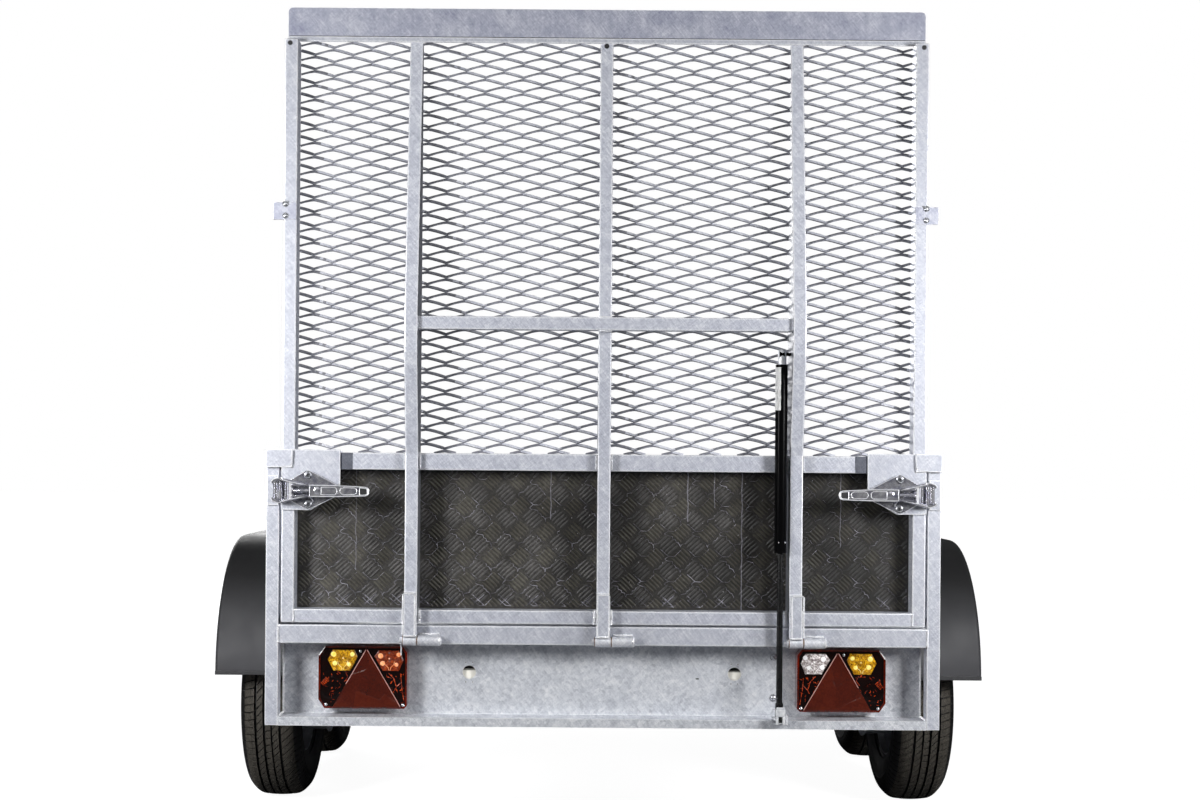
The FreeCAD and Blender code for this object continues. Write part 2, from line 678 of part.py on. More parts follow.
def drawbar_y(x, offset):
    x0, y0, slope = drawbar_line(offset)
    return y0 + (x - x0) / slope


def beam_outline(half, x_rear, y_nose):
    """Plan of the right-hand beam between an upright plane at its rear and one across its nose."""
    return [(x_rear, drawbar_y(x_rear, -half)), (x_rear, drawbar_y(x_rear, half)),
            (drawbar_x(y_nose, half), y_nose), (drawbar_x(y_nose, -half), y_nose)]


def drawbar_beam():
    half = DRAWBAR_WIDTH / 2
    rear = RAIL_OUTSIDE - RAIL_WIDTH
    past = DRAWBAR_WIDTH
    beam = prism(beam_outline(half, rear, DRAWBAR_NOSE_Y), "z", RAIL_BOTTOM, RAIL_TOP)
    bore = prism(beam_outline(half - DRAWBAR_WALL, rear + past, DRAWBAR_NOSE_Y + past), "z",
                 RAIL_BOTTOM + DRAWBAR_WALL, RAIL_TOP - DRAWBAR_WALL)
    return beam.cut(bore)


def nose_plate(z):
    half = DRAWBAR_WIDTH / 2
    rear = DRAWBAR_NOSE_Y - PLATE_LENGTH
    x0, x1 = drawbar_x(rear, half), drawbar_x(DRAWBAR_NOSE_Y, half)
    outline = [(-x0, rear), (x0, rear), (x1, DRAWBAR_NOSE_Y), (-x1, DRAWBAR_NOSE_Y)]
    return prism(outline, "z", z, z + PLATE)


def housing_half():
    """Half width of the coupling housing, which fits between the beams at their nose."""
    return drawbar_x(DRAWBAR_NOSE_Y, -DRAWBAR_WIDTH / 2) - FIT


def quadrant():
    """Toothed sector that the handbrake lever's pawl runs over."""
    start = housing_half()
    sweep = 2 * QUADRANT_HALF_ANGLE
    sector = Part.makeCylinder(QUADRANT_R, QUADRANT_WALL, V(start, LEVER_Y, LEVER_Z), AXES["x"], sweep)
    sector.rotate(V(start, LEVER_Y, LEVER_Z), AXES["x"], -QUADRANT_HALF_ANGLE)
    gaps = []
    for i in range(TEETH):
        angle = math.radians((i + 0.5) * sweep / TEETH - QUADRANT_HALF_ANGLE)
        y = LEVER_Y + QUADRANT_R * math.sin(angle)
        z = LEVER_Z + QUADRANT_R * math.cos(angle)
        notch = box(start - 1, start + QUADRANT_WALL + 1, -TOOTH_DEPTH / 2, TOOTH_DEPTH / 2,
                    -TOOTH_DEPTH / 2, TOOTH_DEPTH / 2)
        notch.rotate(V(0, 0, 0), AXES["x"], math.degrees(math.pi / 4 - angle))
        notch.translate(V(0, y, z))
        gaps.append(notch)
    return sector.cut(Part.makeCompound(gaps))


def coupling_housing():
    half = housing_half()
    body = box(-half, half, HOUSING_FRONT_Y - HOUSING_LENGTH, HOUSING_FRONT_Y, RAIL_BOTTOM, RAIL_TOP)
    body = body.makeFillet(HOUSING_EDGE_R, edges_along(body, "y"))
    boss = cylinder(BOSS_R, 0, HOUSING_FRONT_Y, SHAFT_Z, BOSS_LENGTH, "y")
    pivot = cylinder(LEVER_BOSS_R, half - QUADRANT_WALL, LEVER_Y, LEVER_Z,
                     2 * QUADRANT_WALL + LEVER_GAP, "x")
    return fuse([body, boss, pivot, quadrant()])


def gaiter():
    """Rubber bellows round the shaft."""
    pitch = GAITER_LENGTH / GAITER_FOLDS
    outline = [(SHAFT_R + FIT, 0)]
    for i in range(GAITER_FOLDS):
        outline += [(GAITER_WAIST, i * pitch), (GAITER_R, (i + 0.5) * pitch)]
    outline += [(GAITER_WAIST, GAITER_LENGTH), (SHAFT_R + FIT, GAITER_LENGTH)]
    return turned(outline, V(0, GAITER_Y, SHAFT_Z), "y")


def coupling_handle():
    """Curved lever over the head, hinged above the cup."""
    hinge = BALL_Y - HEAD_R
    foot = SHAFT_Z + SHAFT_R
    rise = SHAFT_Z + HANDLE_RISE
    crest = SHAFT_Z + HANDLE_CREST
    tip = COLLAR_Y - HANDLE_REACH
    profile = arc_wire([V(0, hinge, foot), V(0, hinge + HANDLE_WALL, foot + HANDLE_WALL),
                        (V(0, COLLAR_Y, crest + HANDLE_WALL), V(0, tip, rise)),
                        V(0, tip, rise - HANDLE_WALL),
                        (V(0, COLLAR_Y, crest - HANDLE_WALL), V(0, COLLAR_Y + HANDLE_WALL, foot))])
    handle = Part.Face(profile).extrude(V(HANDLE_HALF, 0, 0))
    return fuse([handle, mirrored(handle)])


def coupling_head():
    """Shaft, collar, cast body that runs down to the cup over the ball, and the handle."""
    nose = BALL_Y + HEAD_NOSE
    neck = BALL_Y - HEAD_R
    low = SHAFT_Z - HEAD_HALF
    high = SHAFT_Z + HEAD_HALF
    shaft = cylinder(SHAFT_R, 0, GAITER_Y, SHAFT_Z, neck - GAITER_Y, "y")
    collar = cylinder(SHAFT_R + COLLAR_WALL, 0, COLLAR_Y, SHAFT_Z, neck - COLLAR_Y, "y")
    side = arc_wire([V(-HEAD_HALF, COLLAR_Y + HEAD_STEP, low), V(-HEAD_HALF, neck, BALL_Z),
                     V(-HEAD_HALF, nose, BALL_Z),
                     (V(-HEAD_HALF, BALL_Y, BALL_Z + HEAD_R), V(-HEAD_HALF, neck, high + HEAD_STEP)),
                     V(-HEAD_HALF, COLLAR_Y + HEAD_STEP, high + HEAD_STEP)])
    body = Part.Face(side).extrude(V(2 * HEAD_HALF, 0, 0))
    cup = Part.makeSphere(HEAD_R, V(0, BALL_Y, BALL_Z))
    cup = cup.cut(box(-HEAD_R, HEAD_R, BALL_Y - HEAD_R, BALL_Y + HEAD_R,
                      BALL_Z - HEAD_R, BALL_Z - SKIRT_DEPTH))
    ball = Part.makeSphere(SOCKET_R, V(0, BALL_Y, BALL_Z))
    mouth = cylinder(SOCKET_R, 0, BALL_Y, BALL_Z - HEAD_R, HEAD_R, "z")
    return fuse([shaft, collar, body, cup, coupling_handle()]).cut(fuse([ball, mouth]))


def handbrake_lever():
    """Tapered blade on its pivot, leaning back, with a round grip."""
    x0 = housing_half() + QUADRANT_WALL + LEVER_GAP
    foot = cylinder(LEVER_FOOT_R, x0, LEVER_Y, LEVER_Z, LEVER_WALL, "x")
    top_y, top_z = LEVER_Y - LEVER_LEAN, LEVER_Z + LEVER_LENGTH
    blade = prism([(LEVER_Y - LEVER_FOOT_R + 1, LEVER_Z), (LEVER_Y + LEVER_FOOT_R - 1, LEVER_Z),
                   (top_y + LEVER_TAPER, top_z), (top_y - LEVER_TAPER, top_z)], "x", x0, x0 + LEVER_WALL)
    lean = V(0, -LEVER_LEAN, LEVER_LENGTH)
    start = V(x0 + LEVER_WALL / 2, top_y, top_z - GRIP_R)
    return fuse([foot, blade, Part.makeCylinder(GRIP_R, GRIP_LENGTH, start, lean)])


# ---------------------------------------------------------------- jockey wheel
def jockey_x():
    return -(drawbar_x(JOCKEY_Y, DRAWBAR_WIDTH / 2) + JOCKEY_TUBE_R + CLAMP_WALL + CLAMP_GAP)


def jockey_clamp():
    """Split clamp on the side of the beam, with its screw and tommy bar."""
    x = jockey_x()
    half = JOCKEY_TUBE_R + CLAMP_WALL
    y0, y1 = JOCKEY_Y - half, JOCKEY_Y + half
    side = DRAWBAR_WIDTH / 2
    outline = [(-drawbar_x(y0, side), y0), (x, y0), (x, y1), (-drawbar_x(y1, side), y1)]
    z0 = (RAIL_BOTTOM + RAIL_TOP - CLAMP_HEIGHT) / 2
    middle = z0 + CLAMP_HEIGHT / 2
    screw_end = x - half - CLAMP_SCREW_OUT
    block = prism(outline, "z", z0, z0 + CLAMP_HEIGHT)
    ring = cylinder(half, x, JOCKEY_Y, z0, CLAMP_HEIGHT, "z")
    screw = cylinder(CLAMP_SCREW_R, screw_end, JOCKEY_Y, middle, CLAMP_SCREW_OUT + CLAMP_WALL / 2, "x")
    bar = cylinder(CLAMP_BAR_R, screw_end + CLAMP_SCREW_R, JOCKEY_Y - CLAMP_BAR_HALF, middle,
                   2 * CLAMP_BAR_HALF, "y")
    bore = cylinder(JOCKEY_TUBE_R + FIT, x, JOCKEY_Y, z0 - 1, CLAMP_HEIGHT + 2, "z")
    return fuse([block, ring, screw, bar]).cut(bore)


def jockey_tube():
    """Outer tube with its cap, and the crank on top."""
    x, y, top = jockey_x(), JOCKEY_Y, JOCKEY_TUBE_TOP
    outline = [(JOCKEY_TUBE_R, JOCKEY_TUBE_BOTTOM), (JOCKEY_TUBE_R, top), (0, top),
               (0, top - JOCKEY_CAP), (JOCKEY_BORE_R, top - JOCKEY_CAP), (JOCKEY_BORE_R, JOCKEY_TUBE_BOTTOM)]
    arm_top = top + CRANK_NECK
    arm = box(x - CRANK_KNOB_R, x + CRANK_KNOB_R, y - CRANK_KNOB_R, y + CRANK_ARM + CRANK_KNOB_R,
              arm_top - CRANK_WALL, arm_top)
    arm = arm.makeFillet(CRANK_KNOB_R - 1, edges_along(arm, "z"))
    return fuse([turned(outline, V(x, y, 0), "z"), cylinder(CRANK_NECK_R, x, y, top, CRANK_NECK, "z"), arm,
                 cylinder(CRANK_KNOB_R - 1, x, y + CRANK_ARM, arm_top, CRANK_KNOB, "z")])


def jockey_inner():
    """Inner tube, closed at its foot, with the headed pin that the fork swivels on."""
    r = JOCKEY_BORE_R - FIT
    foot = FORK_TOP + FIT
    under = FORK_TOP - FORK_PLATE - FIT
    outline = [(r, foot), (r, JOCKEY_INNER_TOP), (r - JOCKEY_INNER_WALL, JOCKEY_INNER_TOP),
               (r - JOCKEY_INNER_WALL, foot + FORK_PLATE), (0, foot + FORK_PLATE),
               (0, under - FORK_CHEEK), (FORK_FOOT_R, under - FORK_CHEEK), (FORK_FOOT_R, under),
               (FORK_PIN_R, under), (FORK_PIN_R, foot)]
    return turned(outline, V(jockey_x(), JOCKEY_Y, 0), "z")


def jockey_fork():
    """Plate that turns on the leg's pin, two cheeks that trail back, and the wheel's pin."""
    x, y = jockey_x(), JOCKEY_Y
    inside = JOCKEY_WHEEL_HALF + FORK_GAP
    outside = inside + FORK_CHEEK
    low = JOCKEY_WHEEL_R
    wheel_y = y - JOCKEY_TRAIL
    shoulder = FORK_TOP - FORK_SHOULDER
    plate = box(x - outside, x + outside, y - FORK_HALF, y + FORK_HALF, FORK_TOP - FORK_PLATE, FORK_TOP)
    profile = arc_wire([V(0, y - FORK_HALF, FORK_TOP), V(0, y - FORK_HALF, shoulder),
                        V(0, wheel_y - FORK_FOOT_R, low),
                        (V(0, wheel_y, low - FORK_FOOT_R), V(0, wheel_y + FORK_FOOT_R, low)),
                        V(0, y + FORK_HALF, shoulder), V(0, y + FORK_HALF, FORK_TOP)])
    cheeks = []
    for side in SIDES:
        cheek = Part.Face(profile).extrude(V(FORK_CHEEK, 0, 0))
        cheek.translate(V(x + inside if side > 0 else x - outside, 0, 0))
        cheeks.append(cheek)
    pin = cylinder(FORK_PIN_R, x - outside - FORK_PIN_END, wheel_y, low, 2 * (outside + FORK_PIN_END), "x")
    swivel = cylinder(FORK_PIN_R + FIT, x, y, FORK_TOP - FORK_PLATE - 1, FORK_PLATE + 2, "z")
    return fuse([plate, pin] + cheeks).cut(swivel)


def jockey_wheel():
    """Wheel with a solid rubber tread, a thin web and a wide hub."""
    h, r = JOCKEY_WHEEL_HALF, JOCKEY_WHEEL_R
    rim = r - JOCKEY_TREAD
    bore = FORK_PIN_R + FIT
    half = [(bore, h), (JOCKEY_HUB_R, h), (JOCKEY_HUB_R, JOCKEY_WEB_HALF), (rim, JOCKEY_WEB_HALF), (rim, h),
            (r - JOCKEY_TREAD_EDGE, h), (r, h - JOCKEY_TREAD_EDGE)]
    outline = half + [(radius, -a) for radius, a in reversed(half)]
    return turned(outline, V(jockey_x(), JOCKEY_Y - JOCKEY_TRAIL, JOCKEY_WHEEL_R), "x")


def drawbar():
    write("drawbar_beams", both_sides(drawbar_beam()))
    write("nose_plates", [nose_plate(RAIL_TOP), nose_plate(RAIL_BOTTOM - PLATE)])
    write("coupling_housing", coupling_housing())
    write("coupling_gaiter", gaiter())
    write("coupling_head", coupling_head())
    write("handbrake_lever", handbrake_lever())
    write("jockey_clamp", jockey_clamp())
    write("jockey_tube", jockey_tube())
    write("jockey_inner", jockey_inner())
    write("jockey_fork", jockey_fork())
    write("jockey_wheel", jockey_wheel())


# ---------------------------------------------------------------- ramp
def ramp_rails():
    """Bottom rail, mid rail and the rail behind the toe lip, all between the stiles."""
    rows = ((0, RAMP_BOTTOM, BOTTOM_RAIL_HEIGHT), (0, MID_RAIL_Z, MID_RAIL_HEIGHT),
            (BEAM_TIP, LIP_Z + LIP_RAIL_UP, MEMBER))
    return [tube(-RAMP_INNER, RAMP_INNER, rear, RAMP_DEPTH, z, z + height, "x") for rear, z, height in rows]


def beam(x, belly):
    """Folded channel, open towards the mesh, that runs over the rear faces of the two lower rails."""
    half = MEMBER / 2
    bottom_top = RAMP_BOTTOM + BOTTOM_RAIL_HEIGHT
    rear = [(-BEAM_REAR, BEAM_BOTTOM), (-BEAM_REAR, MID_RAIL_TOP), (-belly, BELLY_LOW), (-belly, BELLY_HIGH),
            (BEAM_TIP, LIP_Z)]
    front = [(MESH_Y, LIP_Z), (MESH_Y, MID_RAIL_TOP), (0, MID_RAIL_TOP), (0, MID_RAIL_Z),
             (MESH_Y, MID_RAIL_Z), (MESH_Y, bottom_top), (0, bottom_top), (0, BEAM_BOTTOM)]
    back = -BEAM_REAR + BEAM_WALL
    inner_belly = -belly + BELLY_WALL
    hollow = [(back, BEAM_BOTTOM - 1), (back, MID_RAIL_TOP), (inner_belly, BELLY_LOW),
              (inner_belly, BELLY_HIGH - BELLY_SLOPE_DROP), (BEAM_TIP + BELLY_WALL, LIP_Z + 1),
              (RAMP_DEPTH, LIP_Z + 1), (RAMP_DEPTH, BEAM_BOTTOM - 1)]
    body = prism(rear + front, "x", x - half, x + half)
    return body.cut(prism(hollow, "x", x - half + BEAM_WALL, x + half - BEAM_WALL))


def clipped(points, index, limit, sign):
    """The part of a closed outline on one side of a limit across its first or second coordinate."""
    kept = []
    for i, b in enumerate(points):
        a = points[i - 1]
        da, db = sign * (a[index] - limit), sign * (b[index] - limit)
        if (da < 0) != (db < 0):
            t = da / (da - db)
            kept.append((a[0] + t * (b[0] - a[0]), a[1] + t * (b[1] - a[1])))
        if db >= 0:
            kept.append(b)
    return kept


def diamond(cx, cz, bay):
    """Opening of the expanded metal, cut off at the edges of its bay; nothing where little is left."""
    half_x = MESH_PITCH_X / 2 - STRAND
    half_z = MESH_PITCH_Z / 2 - STRAND / 2
    x0, x1, z0, z1 = bay
    points = [(cx - half_x, cz), (cx, cz - half_z), (cx + half_x, cz), (cx, cz + half_z)]
    for index, limit, sign in ((0, x0, 1), (0, x1, -1), (1, z0, 1), (1, z1, -1)):
        points = clipped(points, index, limit, sign)
    area = sum(points[i - 1][0] * points[i][1] - points[i][0] * points[i - 1][1]
               for i in range(len(points))) / 2
    return points if abs(area) > STRAND ** 2 else []


def ramp_mesh():
    """Expanded metal: staggered diamond openings, one strand apart, inside a solid selvedge."""
    z0, z1 = MID_RAIL_TOP, LIP_Z + LIP_RAIL_UP
    edge = STRAND / 2
    bay = (-RAMP_INNER + edge, RAMP_INNER - edge, z0 + edge, z1 - edge)
    rows = int((z1 - z0) / (MESH_PITCH_Z / 2)) + 2
    columns = int(2 * RAMP_INNER / MESH_PITCH_X) + 2
    outlines = [[(-RAMP_INNER, z0), (RAMP_INNER, z0), (RAMP_INNER, z1), (-RAMP_INNER, z1)]]
    for row in range(rows):
        for column in range(-columns, columns + 1):
            cx = (column + 0.5 * (row % 2)) * MESH_PITCH_X
            outlines.append(diamond(cx, z0 + row * MESH_PITCH_Z / 2, bay))
    wires = []
    for outline in filter(None, outlines):
        corners = [V(x, MESH_Y, z) for x, z in outline]
        wires.append(Part.makePolygon(corners + corners[:1]))
    sheet = Part.Face(wires)
    sheet.validate()
    return sheet.extrude(V(0, MESH_WALL, 0))


def toe_lip():
    """Folded plate over the top of the ramp, with rounded upper corners."""
    half = RAMP_HALF - LIP_INSET
    plate = box(-half, half, BEAM_TIP - LIP_WALL, BEAM_TIP, LIP_Z, RAMP_TOP)
    plate = plate.makeFillet(LIP_R, edges_along(plate, "y", RAMP_TOP - 1))
    rail_top = LIP_Z + LIP_RAIL_UP + MEMBER
    shelf = box(-half + LIP_R, half - LIP_R, BEAM_TIP, RAMP_DEPTH, rail_top, rail_top + LIP_WALL)
    return fuse([plate, shelf])


def gusset():
    """Latch plate on the stile and mid rail, and the lug that stops the ramp against the post."""
    right, top = RAMP_HALF, MID_RAIL_TOP + GUSSET_ABOVE
    low, left = top - GUSSET_HEIGHT, RAMP_HALF - GUSSET_WIDTH
    foot = right - GUSSET_FOOT
    outline = [(right, top), (right, low), (foot, low), (foot - GUSSET_SLANT_X, low + GUSSET_SLANT_Z),
               (left, low + GUSSET_SLANT_Z), (left, top)]
    lug = box(BED_HALF - LUG_WIDTH, BED_HALF, -2 * GUSSET, -GUSSET, top - LUG_HEIGHT, top)
    return fuse([prism(outline, "y", -GUSSET, 0), lug])


def side_tab():
    outside = RAMP_HALF + TAB_OUT
    z = TAB_Z - TAB_HEIGHT / 2
    return box(outside - TAB_LENGTH, outside, -TAB_WALL, 0, z, z + TAB_HEIGHT)


def latch_base():
    """Six-sided foot on the gusset and the claw that reaches over the keeper and turns in beside it."""
    y = -GUSSET
    side = LATCH_X + LATCH_HALF
    tip = side + CLAW_REACH
    back = y - LATCH_STAND - LATCH_FOOT
    beside = -KEEPER_PLATE - RAMP_GAP
    over = beside - KEEPER_BAR
    foot = prism([(LATCH_X, LATCH_Z + LATCH_TALL), (side, LATCH_Z + LATCH_SIDE), (side, LATCH_Z - LATCH_SIDE),
                  (LATCH_X, LATCH_Z - LATCH_TALL), (LATCH_X - LATCH_HALF, LATCH_Z - LATCH_SIDE),
                  (LATCH_X - LATCH_HALF, LATCH_Z + LATCH_SIDE)], "y", y - LATCH_FOOT, y)
    arm = box(LATCH_X, side, back, y - LATCH_FOOT, LATCH_Z - LATCH_ARM_HALF, LATCH_Z + LATCH_ARM_HALF)
    claw = prism([(side, back), (tip - CLAW_TIP, back), (tip, back + CLAW_TIP), (tip, beside),
                  (tip - CLAW_TIP, beside), (tip - CLAW_TIP, over), (side, over)],
                 "z", LATCH_Z - CLAW_HALF, LATCH_Z + CLAW_HALF)
    return fuse([foot, arm, claw])


def latch_handle():
    """Tapered over-centre handle with pressed pockets along it."""
    back = -GUSSET - LATCH_STAND - LATCH_FOOT
    root, neck, tip = LATCH_X + LATCH_HALF, LATCH_X - HANDLE_NECK, LATCH_X - HANDLE_TIP
    profile = arc_wire([V(root, back, LATCH_Z - HANDLE_ROOT_HALF), V(root, back, LATCH_Z + HANDLE_ROOT_HALF),
                        V(neck, back, LATCH_Z + HANDLE_NECK_HALF),
                        V(tip + HANDLE_TIP_HALF, back, LATCH_Z + HANDLE_TIP_HALF),
                        (V(tip, back, LATCH_Z), V(tip + HANDLE_TIP_HALF, back, LATCH_Z - HANDLE_TIP_HALF)),
                        V(neck, back, LATCH_Z - HANDLE_NECK_HALF)])
    handle = Part.Face(profile).extrude(V(0, -HANDLE_DEPTH, 0))
    pockets = []
    for i in range(POCKETS):
        middle = LATCH_X - i * POCKET_PITCH
        pocket = box(middle - POCKET_LENGTH / 2, middle + POCKET_LENGTH / 2, back - HANDLE_DEPTH - 1,
                     back - HANDLE_DEPTH + POCKET_DEPTH, LATCH_Z - POCKET_HALF, LATCH_Z + POCKET_HALF)
        pockets.append(pocket.makeFillet(POCKET_HALF / 2, edges_along(pocket, "y")))
    return handle.cut(Part.makeCompound(pockets))


def latch_keeper():
    """Plate on the post with the raised bar that the claw reaches over."""
    claw_inside = LATCH_X + LATCH_HALF + CLAW_REACH - CLAW_TIP
    bar_outside = claw_inside - RAMP_GAP
    plate = box(INNER + KEEPER_EDGE, BED_HALF - KEEPER_EDGE, -KEEPER_PLATE, 0,
                LATCH_Z - KEEPER_HALF, LATCH_Z + KEEPER_HALF)
    bar = box(bar_outside - KEEPER_BAR_WIDTH, bar_outside, -KEEPER_PLATE - KEEPER_BAR, -KEEPER_PLATE,
              LATCH_Z - CLAW_HALF, LATCH_Z + CLAW_HALF)
    return fuse([plate, bar])


def ramp_barrel(x):
    """Moving half of a hinge: barrel and the strap that runs up the back of a beam."""
    start = x - RAMP_BARREL / 2
    barrel = cylinder(HINGE_R, start, HINGE_Y, HINGE_Z, RAMP_BARREL, "x")
    strap = box(x - STRAP_WIDTH / 2, x + STRAP_WIDTH / 2, -BEAM_REAR - STRAP_WALL, -BEAM_REAR,
                HINGE_Z, STRAP_TOP)
    bore = cylinder(HINGE_PIN_R + FIT, start - 1, HINGE_Y, HINGE_Z, RAMP_BARREL + 2, "x")
    return fuse([barrel, strap]).cut(bore)


def frame_barrel(x):
    """Fixed half of a hinge: barrel, its lug on the rear sill, and the pin through both halves."""
    start = x + RAMP_BARREL / 2 + BARREL_GAP
    pin_start = x - RAMP_BARREL / 2 - PIN_END
    barrel = cylinder(HINGE_R, start, HINGE_Y, HINGE_Z, FRAME_BARREL, "x")
    lug = box(start, start + FRAME_BARREL, HINGE_Y, 0, HINGE_Z - HINGE_R, HINGE_Z + HINGE_R)
    pin = cylinder(HINGE_PIN_R, pin_start, HINGE_Y, HINGE_Z, start - pin_start + PIN_ROOT, "x")
    return fuse([barrel, lug, pin])


def ramp():
    bar_half = BEAM_X - MEMBER / 2
    write("ramp_stiles", both_sides(stake(RAMP_INNER, RAMP_HALF, 0, RAMP_DEPTH, RAMP_BOTTOM, LIP_Z)))
    write("ramp_rails", ramp_rails())
    write("ramp_beams", [beam(-BEAM_X, BELLY), beam(0.0, CROSS_BAR_FRONT), beam(BEAM_X, BELLY)])
    write("ramp_cross_bar", tube(-bar_half, bar_half, -CROSS_BAR_FRONT - MEMBER, -CROSS_BAR_FRONT,
                                 CROSS_BAR_Z - MEMBER / 2, CROSS_BAR_Z + MEMBER / 2, "x"))
    write("ramp_mesh", ramp_mesh())
    write("ramp_tread_panel", box(-RAMP_INNER, RAMP_INNER, MESH_Y, RAMP_DEPTH,
                                  RAMP_BOTTOM + BOTTOM_RAIL_HEIGHT, MID_RAIL_Z))
    write("ramp_toe_lip", toe_lip())
    write("ramp_gussets", both_sides(gusset()))
    write("ramp_tabs", both_sides(side_tab()))
    write("ramp_hinges", [ramp_barrel(x) for x in HINGES])
    write("frame_hinges", [frame_barrel(x) for x in HINGES])
    write("latch_bases", both_sides(latch_base()))
    write("latch_handles", both_sides(latch_handle()))
    write("latch_keepers", both_sides(latch_keeper()))


# ---------------------------------------------------------------- gas strut
def strut_cylinder():
    """Cylinder, open at its foot for the rod, with the upper eye and its bolt."""
    bore = ROD_R + FIT
    outline = [(STRUT_R, STRUT_LOW), (STRUT_R, STRUT_HIGH), (0, STRUT_HIGH), (0, STRUT_HIGH - STRUT_CAP),
               (bore, STRUT_HIGH - STRUT_CAP), (bore, STRUT_LOW)]
    bolt_length = BEAM_X - MEMBER / 2 - STRUT_X - FIT
    return fuse([turned(outline, V(STRUT_X, STRUT_Y, 0), "z"),
                 cylinder(STRUT_NECK_R, STRUT_X, STRUT_Y, STRUT_HIGH, STRUT_TOP_Z - STRUT_HIGH, "z"),
                 cylinder(EYE_R, STRUT_X - EYE_WIDTH / 2, STRUT_Y, STRUT_TOP_Z, EYE_WIDTH, "x"),
                 cylinder(PIN_R, STRUT_X, STRUT_Y, STRUT_TOP_Z, bolt_length, "x")])


def strut_rod():
    """Rod with its lower eye, socket and pin."""
    return fuse([cylinder(ROD_R, STRUT_X, STRUT_Y, STRUT_EYE_Z, ROD_TOP - STRUT_EYE_Z, "z"),
                 cylinder(ROD_SOCKET_R, STRUT_X, STRUT_Y, STRUT_EYE_Z, ROD_SOCKET, "z"),
                 cylinder(EYE_R, STRUT_X - EYE_WIDTH / 2, STRUT_Y, STRUT_EYE_Z, EYE_WIDTH, "x"),
                 cylinder(PIN_R, STRUT_X, STRUT_Y, STRUT_EYE_Z, EYE_WIDTH / 2 + PIN_OUT, "x")])


def strut_bracket():
    """Ear on the lip of the lamp panel, beside the rod's eye."""
    x = STRUT_X + EYE_WIDTH / 2 + PIN_OUT + FIT
    return box(x, x + BRACKET, STRUT_Y - EYE_R, 0, STRUT_EYE_Z - EYE_R, STRUT_EYE_Z + EYE_R)


def gas_strut():
    write("strut_cylinder", strut_cylinder())
    write("strut_rod", strut_rod())
    write("strut_bracket", strut_bracket())


# ---------------------------------------------------------------- rear lamps
def lamp_outline():
    """Outline in (x, z) about the lamp's centre, outer side at +x, with chamfered corners."""
    w, h = LAMP_WIDTH / 2, LAMP_HEIGHT / 2
    corners = ((w, h, OUTER_CUT), (w, -h, OUTER_CUT), (-w, -h, INNER_BOTTOM_CUT), (-w, h, INNER_TOP_CUT))
    points = []
    for i, (x, z, (cut_x, cut_z)) in enumerate(corners):
        level = (x - math.copysign(cut_x, x), z)
        upright = (x, z - math.copysign(cut_z, z))
        points += [level, upright] if i % 2 == 0 else [upright, level]
    return points


def lamp_piece(outline, rear, front):
    return prism([(LAMP_X + x, LAMP_Z + z) for x, z in outline], "y", rear, front)


def rear_lamps():
    rear = LAMP_RECESS - LAMP_DEPTH
    indicator = lamp_piece(INDICATOR, rear - LENS, rear)
    inner = lamp_piece(INNER_WINDOW, rear - LENS, rear)
    reflector = lamp_piece(REFLECTOR, rear - LENS, rear).cut(Part.makeCompound([indicator, inner]))
    write("lamp_housings", both_sides(lamp_piece(lamp_outline(), rear, LAMP_RECESS)))
    write("lamp_indicators", both_sides(indicator))
    write("lamp_reverse", inner)
    write("lamp_fog", mirrored(inner))
    write("lamp_reflectors", both_sides(reflector))


bed()
running_gear()
drawbar()
ramp()
gas_strut()
rear_lamps()
print("moved along y by", SHIFT_Y)
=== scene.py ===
import math
import random
import bmesh
import bpy
from mathutils import Matrix, Vector


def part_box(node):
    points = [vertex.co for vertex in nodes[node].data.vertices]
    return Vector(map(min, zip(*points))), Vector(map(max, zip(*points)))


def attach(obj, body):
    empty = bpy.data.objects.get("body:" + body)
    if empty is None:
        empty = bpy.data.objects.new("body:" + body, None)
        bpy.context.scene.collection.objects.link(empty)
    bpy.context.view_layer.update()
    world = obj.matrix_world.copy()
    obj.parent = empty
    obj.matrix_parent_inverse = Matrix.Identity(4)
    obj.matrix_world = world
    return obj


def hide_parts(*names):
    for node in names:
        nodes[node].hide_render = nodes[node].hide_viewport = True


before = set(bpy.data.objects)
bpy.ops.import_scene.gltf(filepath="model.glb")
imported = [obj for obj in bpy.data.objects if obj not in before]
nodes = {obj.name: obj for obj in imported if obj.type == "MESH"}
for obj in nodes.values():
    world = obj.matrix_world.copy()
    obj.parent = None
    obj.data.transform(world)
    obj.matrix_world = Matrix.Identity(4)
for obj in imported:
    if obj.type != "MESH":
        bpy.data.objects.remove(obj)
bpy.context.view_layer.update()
scene = bpy.context.scene
mm = 0.001


# camera, stage and lights

